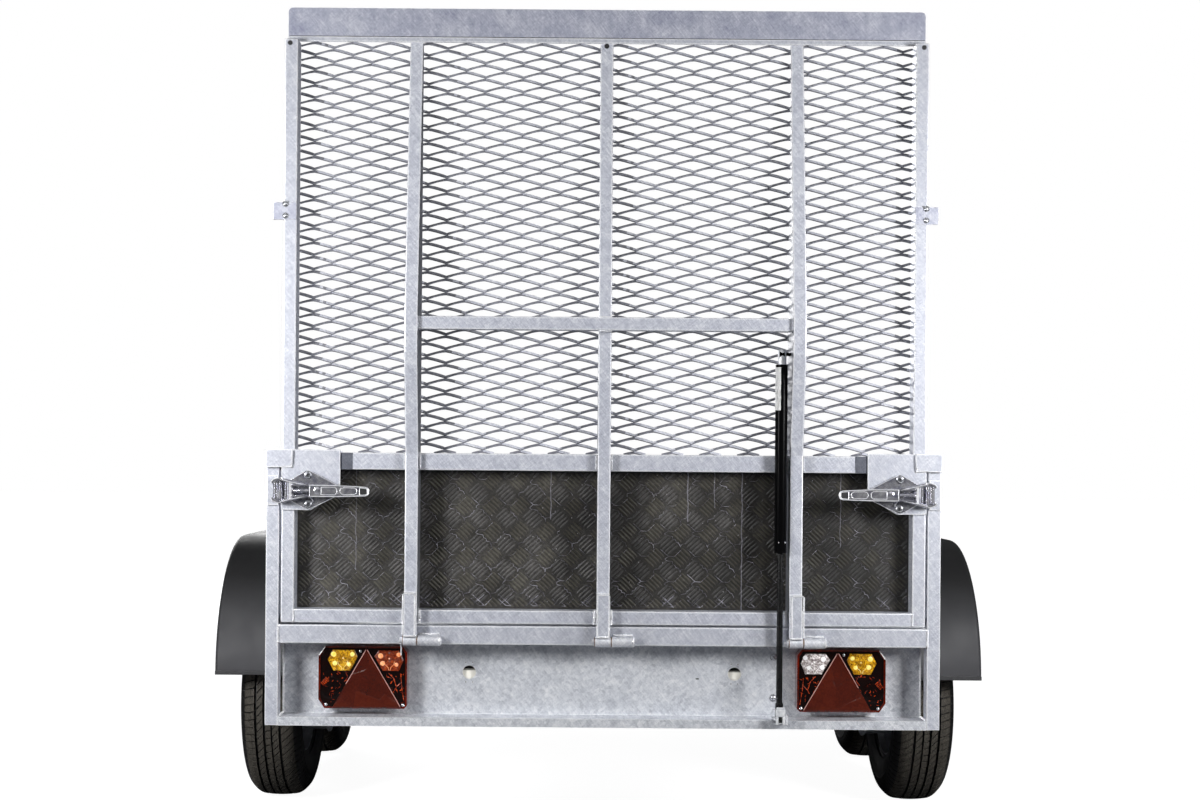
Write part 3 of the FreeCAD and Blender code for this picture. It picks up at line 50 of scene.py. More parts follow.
view = {"lens": 50.0, "at": (-0.069, -5.957, 0.954), "roll": -0.45, "shift": (0.0217, 0.0517)}
studio = {
    "floorSize": 40.0, "floorColour": "#8c8d8f",
    "floorGlow": (0.965, 1.03),  # what the floor adds for the camera, so that it stays pale under the trailer
    "floorReach": (2.0, 7.0),    # distances from the middle between which that grows
    "floorMirror": "#6a6b6e",    # the floor as shiny surfaces see it
    "ambient": 0.03,             # light on matt surfaces from all round
    # what shiny surfaces see, from straight down to straight up: a dark band at eye level, pale walls above it
    "mirror": ((0.0, 0.2), (0.47, 0.16), (0.5, 0.05), (0.6, 0.06), (0.67, 0.2), (0.74, 0.6), (0.9, 0.6),
               (1.0, 0.3)),
    "mirrorFar": 0.3,            # share of it that is left towards the drawbar
    # power, place, size and aim: two equal soft boxes behind the trailer, so that each upright throws a shadow
    # inwards
    "lights": {"left": (64.0, (-1.95, -3.62, 1.42), (0.6, 0.75), (0, -2.1, 0.6)),
               "right": (60.0, (1.95, -3.62, 1.42), (0.6, 0.75), (0, -2.1, 0.6)),
               "front": (380.0, (-3.4, 6.6, 3.2), (4.0, 3.0), (0, -1.2, 0.8)),
               "fill": (2.5, (0.6, -7.0, 0.6), (6.0, 1.0), (0, -2.1, 0.5))},
}


def linear(hexColour):
    channels = [int(hexColour[i:i + 2], 16) / 255 for i in (1, 3, 5)]
    return tuple(c / 12.92 if c <= 0.04045 else ((c + 0.055) / 1.055) ** 2.4 for c in channels) + (1.0,)


def addNode(tree, kind, inputs=(), output=None, **settings):
    # inputs are values or links, in a row or by name; gives the output that is asked for, or else the node
    node = tree.nodes.new("ShaderNode" + kind)
    for name, value in settings.items():
        setattr(node, name, value)
    for name, value in inputs.items() if isinstance(inputs, dict) else enumerate(inputs):
        if isinstance(value, bpy.types.NodeSocket):
            tree.links.new(value, node.inputs[name])
        else:
            node.inputs[name].default_value = value
    return node if output is None else node.outputs[output]


def withStops(ramp, stops):
    # stops are (place, hex colour or grey level)
    elements = ramp.color_ramp.elements
    elements.remove(elements[1])
    for i, (place, colour) in enumerate(sorted(stops)):
        stop = elements.new(place) if i else elements[0]
        stop.position = place
        stop.color = linear(colour) if isinstance(colour, str) else (colour,) * 3 + (1.0,)
    return ramp.outputs[0]


def emptyTree(owner):
    owner.use_nodes = True
    owner.node_tree.nodes.clear()
    return owner.node_tree


def addObject(name, data):
    obj = bpy.data.objects.new(name, data)
    scene.collection.objects.link(obj)
    return obj


def makeCamera():
    camera = addObject("camera", bpy.data.cameras.new("camera"))
    camera.data.lens = view["lens"]
    camera.data.sensor_width = 36.0
    camera.data.shift_x, camera.data.shift_y = view["shift"]
    camera.location = view["at"]
    camera.rotation_euler = (math.radians(90), math.radians(view["roll"]), 0)
    scene.camera = camera


def makeSky():
    scene.world = bpy.data.worlds.new("studio")
    tree = emptyTree(scene.world)
    path = addNode(tree, "LightPath").outputs
    shiny = addNode(tree, "Math", (path["Is Glossy Ray"], path["Is Transmission Ray"]), 0, operation="MAXIMUM")
    direction = addNode(tree, "SeparateXYZ", (addNode(tree, "TexCoord", output="Generated"),)).outputs
    height = addNode(tree, "MapRange", (direction["Z"], -1.0, 1.0), 0)
    walls = withStops(addNode(tree, "ValToRGB", (height,)), studio["mirror"])
    far = addNode(tree, "MapRange", (direction["Y"], -0.2, 0.2, 1.0, studio["mirrorFar"]), 0)
    walls = addNode(tree, "Math", (walls, far), 0, operation="MULTIPLY")
    level = addNode(tree, "Mix", {"Factor": shiny, "A": studio["ambient"], "B": walls}, 0)
    level = addNode(tree, "Mix", {"Factor": path["Is Camera Ray"], "A": level, "B": 1.0}, 0)
    sky = addNode(tree, "Background", {"Color": (1, 1, 1, 1), "Strength": level}, 0)
    addNode(tree, "OutputWorld", {"Surface": sky})


def makeFloor():
    paper = bpy.data.materials.new("backdropPaper")  # matt paper roll: even and pale, keeps a soft shadow
    tree = emptyTree(paper)
    coords = addNode(tree, "TexCoord", output="Object")
    grain = addNode(tree, "TexNoise", {"Vector": coords, "Scale": 900.0}, "Fac")
    bump = addNode(tree, "Bump", {"Height": grain, "Strength": 0.05, "Distance": 0.4 * mm}, 0)
    path = addNode(tree, "LightPath").outputs
    colour = addNode(tree, "Mix", {0: path["Is Glossy Ray"], 6: linear(studio["floorColour"]),
                                   7: linear(studio["floorMirror"])}, 2, data_type="RGBA")
    skin = addNode(tree, "BsdfDiffuse", {"Color": colour, "Normal": bump}, 0)
    away = addNode(tree, "VectorMath", (coords,), "Value", operation="LENGTH")
    level = addNode(tree, "MapRange", (away, *studio["floorReach"], *studio["floorGlow"]), 0)
    level = addNode(tree, "Math", (path["Is Camera Ray"], level), 0, operation="MULTIPLY")
    light = addNode(tree, "Emission", {"Strength": level}, 0)
    addNode(tree, "OutputMaterial", {"Surface": addNode(tree, "AddShader", (skin, light), 0)})
    bm = bmesh.new()
    bmesh.ops.create_grid(bm, x_segments=1, y_segments=1, size=studio["floorSize"])
    mesh = bpy.data.meshes.new("floor")
    bm.to_mesh(mesh)
    bm.free()
    mesh.materials.append(paper)
    floor = addObject("floor", mesh)


def makeLight(name, power, place, size, aim):
    lamp = bpy.data.lights.new(name, "AREA")
    lamp.shape = "RECTANGLE"
    lamp.size, lamp.size_y = size
    lamp.energy = power
    obj = addObject(name, lamp)
    obj.location = place
    obj.rotation_euler = (Vector(aim) - obj.location).to_track_quat("-Z", "Y").to_euler()
    obj.visible_glossy = name != "fill"


scene.view_settings.view_transform = "Standard"
makeCamera()
makeSky()
makeFloor()
for lampName, settings in studio["lights"].items():
    makeLight(lampName, *settings)
print("camera, floor and lights are set")


# materials: sizes of patterns in mm

def startMaterial(name):
    made = bpy.data.materials.new(name)
    tree = emptyTree(made)
    return made, tree, addNode(tree, "TexCoord", output="Object")


def endMaterial(made, tree, inputs):
    addNode(tree, "OutputMaterial", {"Surface": addNode(tree, "BsdfPrincipled", inputs, 0)})
    return made


def stretched(size, lean=0.0):
    # settings for a pattern of the given size along x, y and z, leant over in the upright plane
    return {"Scale": [length * mm for length in size], "Rotation": (0, math.radians(lean), 0)}


zinc = {"crystal": 5.0, "cloud": 26.0, "crystals": 0.16, "clouds": 1.2, "grit": 0.7, "runs": 0.12, "rubs": 1.1,
        "rough": 0.38, "bump": 0.25, "metal": 0.4, "edge": 4.5, "edges": 1.0, "edgeHighlight": "#ffffff"}


def galvanised(name, dark, mid, light, **changes):
    # hot-dip galvanised steel: blue-grey zinc, mottled and rubbed, with a painted highlight on its rounded
    # edges and a satin shine
    look = {**zinc, **changes}
    made, tree, coords = startMaterial(name)
    crystals = addNode(tree, "TexVoronoi", {"Vector": coords, "Scale": 1 / (look["crystal"] * mm)}, "Color")
    crystal = addNode(tree, "SeparateXYZ", (crystals,), "X")
    clouds = addNode(tree, "TexNoise", {"Vector": coords, "Scale": 1 / (look["cloud"] * mm), "Detail": 7.0,
                                        "Roughness": 0.72}, "Fac")
    grit = addNode(tree, "TexNoise", {"Vector": coords, "Scale": 1 / (3.0 * mm), "Detail": 3.0}, "Fac")
    sources = [(crystal, look["crystals"]), (clouds, look["clouds"]), (grit, look["grit"])]
    # upright runs, then streaks that are rubbed both ways: size, lean, roughness, amount
    for size, lean, rough, amount in (((9, 9, 260), 0, 0.5, look["runs"]),
                                      ((34, 34, 2.2), 52, 0.7, look["rubs"]),
                                      ((34, 34, 2.2), -38, 0.7, look["rubs"] * 0.6)):
        place = addNode(tree, "Mapping", {"Vector": coords, **stretched(size, lean)}, 0, vector_type="TEXTURE")
        sources.append((addNode(tree, "TexNoise", {"Vector": place, "Scale": 1.0, "Detail": 3.0,
                                                   "Roughness": rough}, "Fac"), amount))
    tone = 0.5
    for source, amount in sources:
        centred = addNode(tree, "Math", (source, -0.5), 0, operation="ADD")
        tone = addNode(tree, "Math", (centred, amount, tone), 0, operation="MULTIPLY_ADD")
    colour = withStops(addNode(tree, "ValToRGB", (tone,)), ((0.0, dark), (0.5, mid), (1.0, light)))
    gloss = addNode(tree, "MapRange", (tone, 0.1, 0.9, look["rough"] + 0.08, look["rough"] - 0.08), 0)
    bumps = addNode(tree, "Math", (grit, clouds, 0.0), 0, operation="MULTIPLY_ADD")
    bump = addNode(tree, "Bump", {"Height": bumps, "Strength": look["bump"], "Distance": 0.6 * mm}, 0)
    # painted highlight: where the rounded normal leaves the true one, near the edges, the colour blends towards
    # the highlight tone
    soft = addNode(tree, "Bevel", {"Radius": look["edge"] * mm}, 0, samples=4)
    flat = addNode(tree, "NewGeometry", output="True Normal")
    facing = addNode(tree, "VectorMath", (soft, flat), "Value", operation="DOT_PRODUCT")
    edges = addNode(tree, "MapRange", (facing, 0.998, 0.92, 0.0, look["edges"]), 0)
    colour = addNode(tree, "Mix", {0: edges, 6: colour, 7: linear(look["edgeHighlight"])}, 2, data_type="RGBA")
    if "flank" in look:  # painted shade: faces that point across x blend towards a dark tone
        across = addNode(tree, "SeparateXYZ", (flat,), "X")
        sideways = addNode(tree, "Math", (across, across), 0, operation="MULTIPLY")
        share = addNode(tree, "MapRange", (sideways, 0.5, 1.0, 0.0, look["flank"]), 0)
        colour = addNode(tree, "Mix", {0: share, 6: colour, 7: linear(look["flankTone"])}, 2, data_type="RGBA")
    return endMaterial(made, tree, {"Base Color": colour, "Metallic": look["metal"], "Roughness": gloss,
                                    "Normal": bump})


galvanisedTube = galvanised("galvanisedTube", "#989baa", "#c2c5d0", "#eceef3")
# the beams' sides carry painted shade
beamZincShadedFlanks = galvanised("beamZincShadedFlanks", "#989baa", "#c2c5d0", "#eceef3", flank=0.85, flankTone="#5f6168")
galvanisedPost = galvanised("galvanisedPost", "#9c9fad", "#bfc2cc", "#e8e9ee")
galvanisedSheet = galvanised("galvanisedSheet", "#a3a6af", "#cdd0d6", "#f0f1f4", crystal=8.0, crystals=0.4,
                             cloud=38.0, clouds=1.4, rubs=0.9, edge=2.0)
galvanisedLip = galvanised("galvanisedLip", "#878aa0", "#adb0c0", "#d6d8e2", cloud=55.0, clouds=1.7, runs=0.5,
                           rubs=1.3, edge=1.5)
matt = {"metal": 0.0, "ior": 1.5, "spread": 0.06, "depth": 0.2, "grain": 1.2, "patch": 60.0, "bump": 0.3,
        "dusty": (640, 440), "groundLightShare": 0.85}


def plainFinish(name, low, high, rough, **changes):
    # one body colour with the cloudiness, grain and shine that its making leaves
    look = {**matt, **changes}
    made, tree, coords = startMaterial(name)
    grain = addNode(tree, "TexNoise", {"Vector": coords, "Scale": 1 / (look["grain"] * mm), "Detail": 4.0,
                                       "Roughness": 0.6}, "Fac")
    wear = addNode(tree, "TexNoise", {"Vector": coords, "Scale": 1 / (look["patch"] * mm),
                                      "Detail": 4.0}, "Fac")
    colour = withStops(addNode(tree, "ValToRGB", (wear,)), ((0.3, low), (0.7, high)))
    if "dust" in look:  # painted light: paler towards the ground, darker higher up
        plainAbove, dusty = look["dusty"]
        height = addNode(tree, "SeparateXYZ", (coords,), "Z")
        groundLightShare = addNode(tree, "MapRange", (height, plainAbove * mm, dusty * mm, 0.0, look["groundLightShare"]), 0)
        colour = addNode(tree, "Mix", {0: groundLightShare, 6: colour, 7: linear(look["dust"])}, 2, data_type="RGBA")
    gloss = addNode(tree, "MapRange", (wear, 0.3, 0.7, rough + look["spread"], rough - look["spread"]), 0)
    bump = addNode(tree, "Bump", {"Height": grain, "Strength": look["bump"], "Distance": look["depth"] * mm}, 0)
    return endMaterial(made, tree, {"Base Color": colour, "Metallic": look["metal"], "IOR": look["ior"],
                                    "Roughness": gloss, "Normal": bump})


# plated and polished: nearly a mirror
brightZinc = plainFinish("brightZincPlate", "#c2c4cb", "#dfe1e6", 0.2, metal=1.0, patch=18.0, bump=0.06)
# sand-cast skin under zinc: dull and pebbled
castIron = plainFinish("zincedCasting", "#8d9096", "#b3b6bb", 0.45, metal=0.85, grain=1.8, bump=0.5)
# sprayed and baked: deep black, soft shine
blackEnamel = plainFinish("blackEnamel", "#050506", "#09090a", 0.2, ior=1.12, bump=0.05)
# the same paint, a little greyer: painted sheen for the highlights down the rod's sides
rodEnamel = plainFinish("rodEnamelPaintedSheen", "#070708", "#131314", 0.26, patch=25.0, bump=0.05)
# aluminium-flake paint: soft silver
silverEnamel = plainFinish("silverEnamel", "#a7aaae", "#bcbfc3", 0.4, metal=0.6, bump=0.06)
# moulded rubber of the bellows and the small wheel: even, dull black
softRubber = plainFinish("softRubber", "#161616", "#222222", 0.55)
# grained moulding: grey-black, satin
blackPlastic = plainFinish("mouldedPolypropylene", "#2f2f31", "#3b3b3e", 0.5, grain=0.9, bump=0.5)
# the same, with painted light: paler towards the ground, darker higher up
dustedPlastic = plainFinish("dustedPolypropylene", "#0b0b0d", "#101012", 0.6, grain=1.4, bump=0.6,
                            dust="#3f3f43")


def roundEdges(obj, edge, segments=2):
    rounded = obj.modifiers.new("rounded", "BEVEL")
    rounded.width, rounded.segments, rounded.angle_limit = edge * mm, segments, math.radians(35)
    return rounded


wheelPlaces = ("rear_left", "rear_right", "front_left", "front_right")


def dress(finish, edges):
    # gives each CAD node its material, and rounds its edges by the number of mm beside its name
    for nodeName, edge in edges.items():
        obj = nodes[nodeName]
        obj.data.materials.clear()
        obj.data.materials.append(finish)
        if edge:
            obj.modifiers.new("joined", "WELD").merge_threshold = 0.00002
            rounded = roundEdges(obj, edge, 3 if edge > 1 else 2)
            rounded.harden_normals = any(face.use_smooth for face in obj.data.polygons)


dress(galvanisedPost, {"rear_posts": 1.6, "rear_sill": 2.5, "frame_hinges": 0, "ramp_stiles": 2.5,
                       "ramp_gussets": 1.0, "ramp_hinges": 0, "latch_keepers": 0.8})
dress(galvanisedTube, {"side_sills": 2.5, "side_rails": 2.5, "drawbar_beams": 2.5, "axles": 0,
                       "mudguard_stays": 0.8, "strut_bracket": 0.6, "ramp_rails": 2.5, "ramp_cross_bar": 2.8})
dress(galvanisedSheet, {"lamp_panel": 0, "chassis_rails": 2.0, "cross_members": 1.5, "side_panels": 0.8,
                        "headboard": 0.8, "nose_plates": 1.2})
dress(beamZincShadedFlanks, {"ramp_beams": 2.8})
dress(galvanisedLip, {"ramp_toe_lip": 1.2, "ramp_tabs": 0.5})
dress(brightZinc, {"jockey_clamp": 0, "jockey_tube": 0, "jockey_inner": 0, "jockey_fork": 0.6})
dress(castIron, {"coupling_housing": 1.5, "coupling_head": 0})
dress(softRubber, {"jockey_wheel": 0, "coupling_gaiter": 0})
dress(blackEnamel, {"handbrake_lever": 0, "strut_cylinder": 0})
dress(rodEnamel, {"strut_rod": 0})
dress(dustedPlastic, {"mudguards": 0})
dress(silverEnamel, {f"wheel_{place}": 0 for place in wheelPlaces})
print("the CAD nodes have their finishes")


# mesh tools: every length in them is in mm, in the frame's own axes

def boxOf(node):
    lo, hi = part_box(node)
    return lo / mm, hi / mm


def addLoops(bm, loops):
    # a skin over loops of points that all have the same count, closed at both ends
    rings = [[bm.verts.new(point) for point in loop] for loop in loops]
    count = len(rings[0])
    for a, b in zip(rings, rings[1:]):
        for i in range(count):
            bm.faces.new((a[i], a[(i + 1) % count], b[(i + 1) % count], b[i]))
    bm.faces.new(rings[0][::-1])
    bm.faces.new(rings[-1])
    return rings


def addBox(bm, lo, hi):
    (x0, y0, z0), (x1, y1, z1) = lo, hi
    addLoops(bm, [[(x, y0, z0), (x, y1, z0), (x, y1, z1), (x, y0, z1)] for x in (x0, x1)])


def crossAxes(axis):
    axis = Vector(axis).normalized()
    side = axis.cross(Vector((0, 0, 1)) if abs(axis.z) < 0.9 else Vector((0, 1, 0))).normalized()
    return axis, side, axis.cross(side)


def addTurned(bm, profile, centre, axis=(0, -1, 0), sides=20):
    # profile is (distance along the axis, radius) from one end to the other
    axis, side, up = crossAxes(axis)
    angles = [2 * math.pi * i / sides for i in range(sides)]
    addLoops(bm, [[Vector(centre) + axis * along + (side * math.cos(a) + up * math.sin(a)) * radius
                   for a in angles] for along, radius in profile])


def addDome(bm, centre, radius, height, axis=(0, -1, 0), sides=20):
    shape = ((0, 1), (0.3, 0.97), (0.65, 0.78), (0.9, 0.45), (1, 0.08))
    addTurned(bm, [(a * height, b * radius) for a, b in shape], centre, axis, sides)


def addRod(bm, start, end, radius, sides):
    addTurned(bm, ((0, radius), ((end - start).length, radius)), start, end - start, sides)


def addWire(bm, points, radius, sides=6):
    # a bent wire through the points
    points = [Vector(p) for p in points]
    loops, side = [], None
    for i, point in enumerate(points):
        along = (points[min(i + 1, len(points) - 1)] - points[max(i - 1, 0)]).normalized()
        side = crossAxes(along)[1] if side is None else (side - along * side.dot(along)).normalized()
        up = along.cross(side)
        turns = [2 * math.pi * k / sides for k in range(sides)]
        loops.append([point + (side * math.cos(turn) + up * math.sin(turn)) * radius for turn in turns])
    addLoops(bm, loops)


def addPlate(bm, outline, y0, y1, inset=0.0):
    # a plate facing along y: outline is (x, z) points; its face at y0 is smaller by inset
    centre = Vector((sum(x for x, z in outline), sum(z for x, z in outline))) / len(outline)
    front = []
    for x, z in outline:
        point = Vector((x, z))
        point -= (point - centre).normalized() * inset
        front.append((point.x, y0, point.y))
    addLoops(bm, [front, [(x, y1, z) for x, z in outline]])


def addWeld(bm, start, end, radius, seed):
    # a weld bead: overlapping lumps along a line
    start, end = Vector(start), Vector(end)
    long = (end - start).length
    count = max(3, int(long / (radius * 0.55)))
    dice = random.Random(seed)
    profile = [(0.0, radius * 0.2)]
    for i in range(count):
        along = (i + 0.5) / count * long
        profile += [(along, radius * dice.uniform(0.85, 1.12)),
                    (along + radius * 0.3, radius * dice.uniform(0.66, 0.8))]
    addTurned(bm, profile + [(long + radius * 0.35, radius * 0.2)], start, end - start, 10)


def makePiece(name, bm, finishes, body="trailer", slotName="galvanised_steel", smooth=35.0, edge=0.0,
              stands=()):
    bmesh.ops.recalc_face_normals(bm, faces=bm.faces)
    mesh = bpy.data.meshes.new(name)
    bm.to_mesh(mesh)
    bm.free()
    mesh.transform(Matrix.Scale(mm, 4))
    for finish in finishes if isinstance(finishes, tuple) else (finishes,):
        mesh.materials.append(finish)
    mesh.polygons.foreach_set("use_smooth", [True] * len(mesh.polygons))
    mesh.set_sharp_from_angle(angle=math.radians(smooth))
    obj = addObject(name, mesh)
    if edge:
        roundEdges(obj, edge)
    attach(obj, body)
    if stands:
        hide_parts(*stands)


# the grille: one sheet of expanded metal behind the ramp's beams

grille = {"longWay": 88.1, "shortWay": 33.2, "strand": 6.3, "sheet": 3.6, "lean": 47.0, "swing": 19.0,
          "phase": (-369.0, 1644.0), "steps": 6, "arch": 1.35, "bond": 0.8, "shadeAbove": 9.0, "seed": 3,
          # stretches in x beside the tubes, where both faces of the strands get painted shadow
          "beamShadowStretches": ((-710.0, -662.0), (-426.0, -345.0), (14.0, 52.0), (672.0, 710.0))}


def clippedRuns(points, lo, hi):
    # the stretches of a line of (x, z, ...) points inside a window, with new ends where it leaves the window
    runs, run = [], []
    for a, b in zip(points, points[1:]):
        span, keep = [0.0, 1.0], True
        for k, low, high in ((0, lo.x, hi.x), (1, lo.z, hi.z)):
            for limit, sign in ((low, 1), (high, -1)):
                u, v = (a[k] - limit) * sign, (b[k] - limit) * sign
                if u < 0 and v < 0:
                    keep = False
                elif u < 0:
                    span[0] = max(span[0], u / (u - v))
                elif v < 0:
                    span[1] = min(span[1], u / (u - v))
        if keep and span[0] < span[1]:
            ends = [tuple(p + (q - p) * share for p, q in zip(a, b)) for share in span]
            run += ends[1:] if run else ends
        if run and (not keep or span[1] < 1.0):
            runs.append(run)
            run = []
    return runs + [run] if run else runs


def makeGrille():
    lo, hi = boxOf("ramp_mesh")
    step, rise = grille["longWay"] / 2, grille["shortWay"] / 2
    halfWide, halfThick = grille["strand"] / 2, grille["sheet"] / 2
    middle = (lo.y + hi.y) / 2
    x0, z0 = grille["phase"]
    lean = math.radians(grille["lean"])
    reach = (math.cos(lean) * halfWide + math.sin(lean) * halfThick) * grille["bond"]
    dice = random.Random(grille["seed"])
    bm = bmesh.new()
    columns = range(math.floor((lo.x - x0) / step) - 1, math.ceil((hi.x - x0) / step) + 2)
    for row in range(math.floor((lo.z - z0) / rise) - 1, math.ceil((hi.z - z0) / rise) + 1):
        points = []
        for column in columns:
            for k in range(grille["steps"]):
                part = k / grille["steps"]
                rising = 1 if (column + row) % 2 == 0 else -1  # a rising strand starts at its low bond
                share = part if rising > 0 else 1 - part
                height = 1 - (1 - share) ** grille["arch"]
                twist = grille["lean"] + grille["swing"] * rising * math.sin(math.pi * part)
                z = z0 + row * rise + reach + height * (rise - 2 * reach)
                points.append((x0 + (column + part) * step, z, twist))
        for run in clippedRuns(points, lo, hi):
            loops = []
            for i, (x, z, twist) in enumerate(run):
                before, after = run[max(i - 1, 0)], run[min(i + 1, len(run) - 1)]
                along = Vector((after[0] - before[0], 0, after[1] - before[1])).normalized()
                wide = Vector((0, math.sin(math.radians(twist)), math.cos(math.radians(twist))))
                wide = (wide - along * wide.dot(along)).normalized()
                thick = along.cross(wide)
                loops.append([Vector((x, middle, z)) + wide * halfWide * a + thick * halfThick * b
                              for a, b in ((-1, -1), (1, -1), (1, 1), (-1, 1))])
            rings = addLoops(bm, loops)
            for a, b, (x, z, twist) in zip(rings, rings[1:], run):
                paintedShadeFaces = [bm.faces.get((a[3], a[0], b[0], b[3]))]  # painted shade on the cut edge that faces down
                beamShadowStretches = any(low < x < high + dice.uniform(-16, 16) for low, high in grille["beamShadowStretches"])
                # painted shade also on the front of rising arms, and in the stretches beside the tubes
                if twist > grille["lean"] + grille["shadeAbove"] or beamShadowStretches:
                    paintedShadeFaces.append(bm.faces.get((a[2], a[3], b[3], b[2])))
                for face in paintedShadeFaces:
                    face.material_index = 1
    makePiece("expandedGrille", bm, (grilleZinc, grillePaintedShade), "ramp", stands=("ramp_mesh",))


grilleZinc = galvanised("galvanisedGrille", "#a9acb8", "#d0d2dc", "#f4f5f9", cloud=90.0, rough=0.42, edges=0.0)
# a darker copy of the grille's zinc, for painted shade
grillePaintedShade = galvanised("galvanisedGrilleShade", "#6a6b71", "#8b8c94", "#aeb0ba", cloud=90.0, rough=0.5,
                        edges=0.0)
makeGrille()
print("the grille is made")


# raised bars of the tread plate, on the ramp's lower panel and on the deck

tread = {"pitchX": 31.4, "pitchZ": 29.3, "phase": (12.5, 4.5), "lean": 43.0, "height": 1.4, "strokeWidth": 0.5,
         "count": 5, "step": 8.3, "taper": 0.07, "shortest": 4.0, "seed": 5,
         "ramp": (39.0, 5.6), "deck": (36.0, 5.0),  # length and width of a bar
         # its outline at the sheet and on top, in halves of both
         "foot": ((-1, 0), (-0.6, -1), (0.6, -1), (1, 0), (0.6, 1), (-0.6, 1)),
         "crest": ((-0.85, 0), (-0.55, -0.4), (0.55, -0.4), (0.85, 0), (0.55, 0.4), (-0.55, 0.4)),
         # painted highlights where the bars' edges catch the light: pale lines round every second group of
         # bars, (x, z) from its middle, and their strength
         "strokes": ((((-16.8, -9.9), (-7.6, -18.4), (1.5, -26.2), (15.3, -27.0), (24.5, -17.6), (32.5, -9.8)),
                      0.95),
                     (((0.5, 32.0), (-5.2, 28.3), (-6.8, 25.0), (-2.0, 22.2), (10.7, 19.6), (11.8, 13.5),
                       (17.8, 11.8), (19.4, 6.4), (25.2, 4.4), (29.1, -3.4)), 0.9),
                     (((-33.5, -6.9), (-32.0, 1.0), (-19.5, 4.0), (-18.4, 10.2), (-12.0, 12.6), (-10.5, 18.8)),
                      0.65))}


def makeBars(name, origin, size, up, out, bar, body):
    # groups of parallel bars that lean the other way in every second row, which stands half a step aside
    bm = bmesh.new()
    centres = []
    across = Vector((1, 0, 0))
    pitchX, pitchZ = tread["pitchX"], tread["pitchZ"]
    half, wide = bar[0] / 2, bar[1] / 2
    columns, rows = range(-1, int(size[0] / pitchX) + 2), range(-1, int(size[1] / pitchZ) + 2)
    for i, j in ((i, j) for i in columns for j in rows if (i + j) % 2 == 0):
        middle = origin + across * (tread["phase"][0] + i * pitchX) + up * (tread["phase"][1] + j * pitchZ)
        lean = math.radians(tread["lean"] if j % 2 else 180 - tread["lean"])
        along = across * math.cos(lean) + up * math.sin(lean)
        side = out.cross(along)
        if j % 2:
            centres.append(middle)
        for k in range(tread["count"]):
            offset = k - (tread["count"] - 1) / 2
            centre = middle + side * offset * tread["step"]
            reach = half * (1 - tread["taper"] * abs(offset))
            span = [-reach, reach]  # cut back where the bar would pass the edge of the sheet
            for axis, limit in ((across, size[0]), (up, size[1])):
                start, slope = (centre - origin).dot(axis), along.dot(axis)
                ends = sorted(((wide - start) / slope, (limit - wide - start) / slope))
                span = [max(span[0], ends[0]), min(span[1], ends[1])]
            reach = (span[1] - span[0]) / 2
            if reach < tread["shortest"]:
                continue
            centre = centre + along * (span[0] + span[1]) / 2
            lower = [bm.verts.new(centre + along * reach * a + side * wide * b) for a, b in tread["foot"]]
            upper = [bm.verts.new(centre + along * reach * a + side * wide * b + out * tread["height"])
                     for a, b in tread["crest"]]
            faces = [bm.faces.new((lower[n - 1], lower[n], upper[n], upper[n - 1])) for n in (1, 2, 3, 4, 5, 0)]
            for face in faces + [bm.faces.new(upper)]:
                face.material_index = j % 2
    makePiece(name, bm, (treadBars, greyBars), body, "tread_plate", smooth=20.0)
    return centres


def makeStrokes(centres, lo, hi):
    # painted highlights where the bars' edges catch the light: hooks, stairs and shallow V shapes
    dice = random.Random(tread["seed"])
    bm = bmesh.new()
    width = tread["strokeWidth"]
    for middle in centres:
        low = 1 - (middle.z - lo.z) / (hi.z - lo.z)  # plainer and brighter lines towards the bottom
        for line, strength in tread["strokes"]:
            if dice.random() > strength * (0.85 + 0.3 * low):
                continue
            jitter = 0.9 if line is not tread["strokes"][0][0] else 0.3
            points = [(middle.x + x + dice.uniform(-jitter, jitter), lo.y - 1.0,
                       middle.z + z + dice.uniform(-jitter, jitter)) for x, z in line]
            if all(lo.x < x < hi.x and lo.z + 3 < z < hi.z - 3 for x, y, z in points):
                addWire(bm, points, width * dice.uniform(0.6, 1.1) * (0.7 + 0.4 * low), 4)
        if middle.z - lo.z < tread["pitchZ"] * 1.4:  # plain crossing lines in the lowest row
            for lean in (-1, 1):
                x, z, long = middle.x + dice.uniform(-2, 2), lo.z + dice.uniform(19, 21), dice.uniform(13, 16)
                ends = [(x + long * lean * sign, lo.y - 1.2, z + long * 0.9 * sign) for sign in (-1, 1)]
                addWire(bm, ends, width * 0.7, 4)
    makePiece("rampTreadStrokes", bm, treadGlint, "ramp", "tread_plate")


worn = {"cloud": 110.0, "clouds": 0.6, "rough": 0.5, "speck": "#c3c1c6", "drip": "#9997a2",
        # x, half width and lower end of each drip
        "drips": ((200.0, 1.1, 818.0), (262.0, 0.7, 850.0), (326.0, 1.1, 600.0), (-118.0, 0.8, 820.0),
                  (-570.0, 0.8, 700.0), (555.0, 0.8, 760.0))}


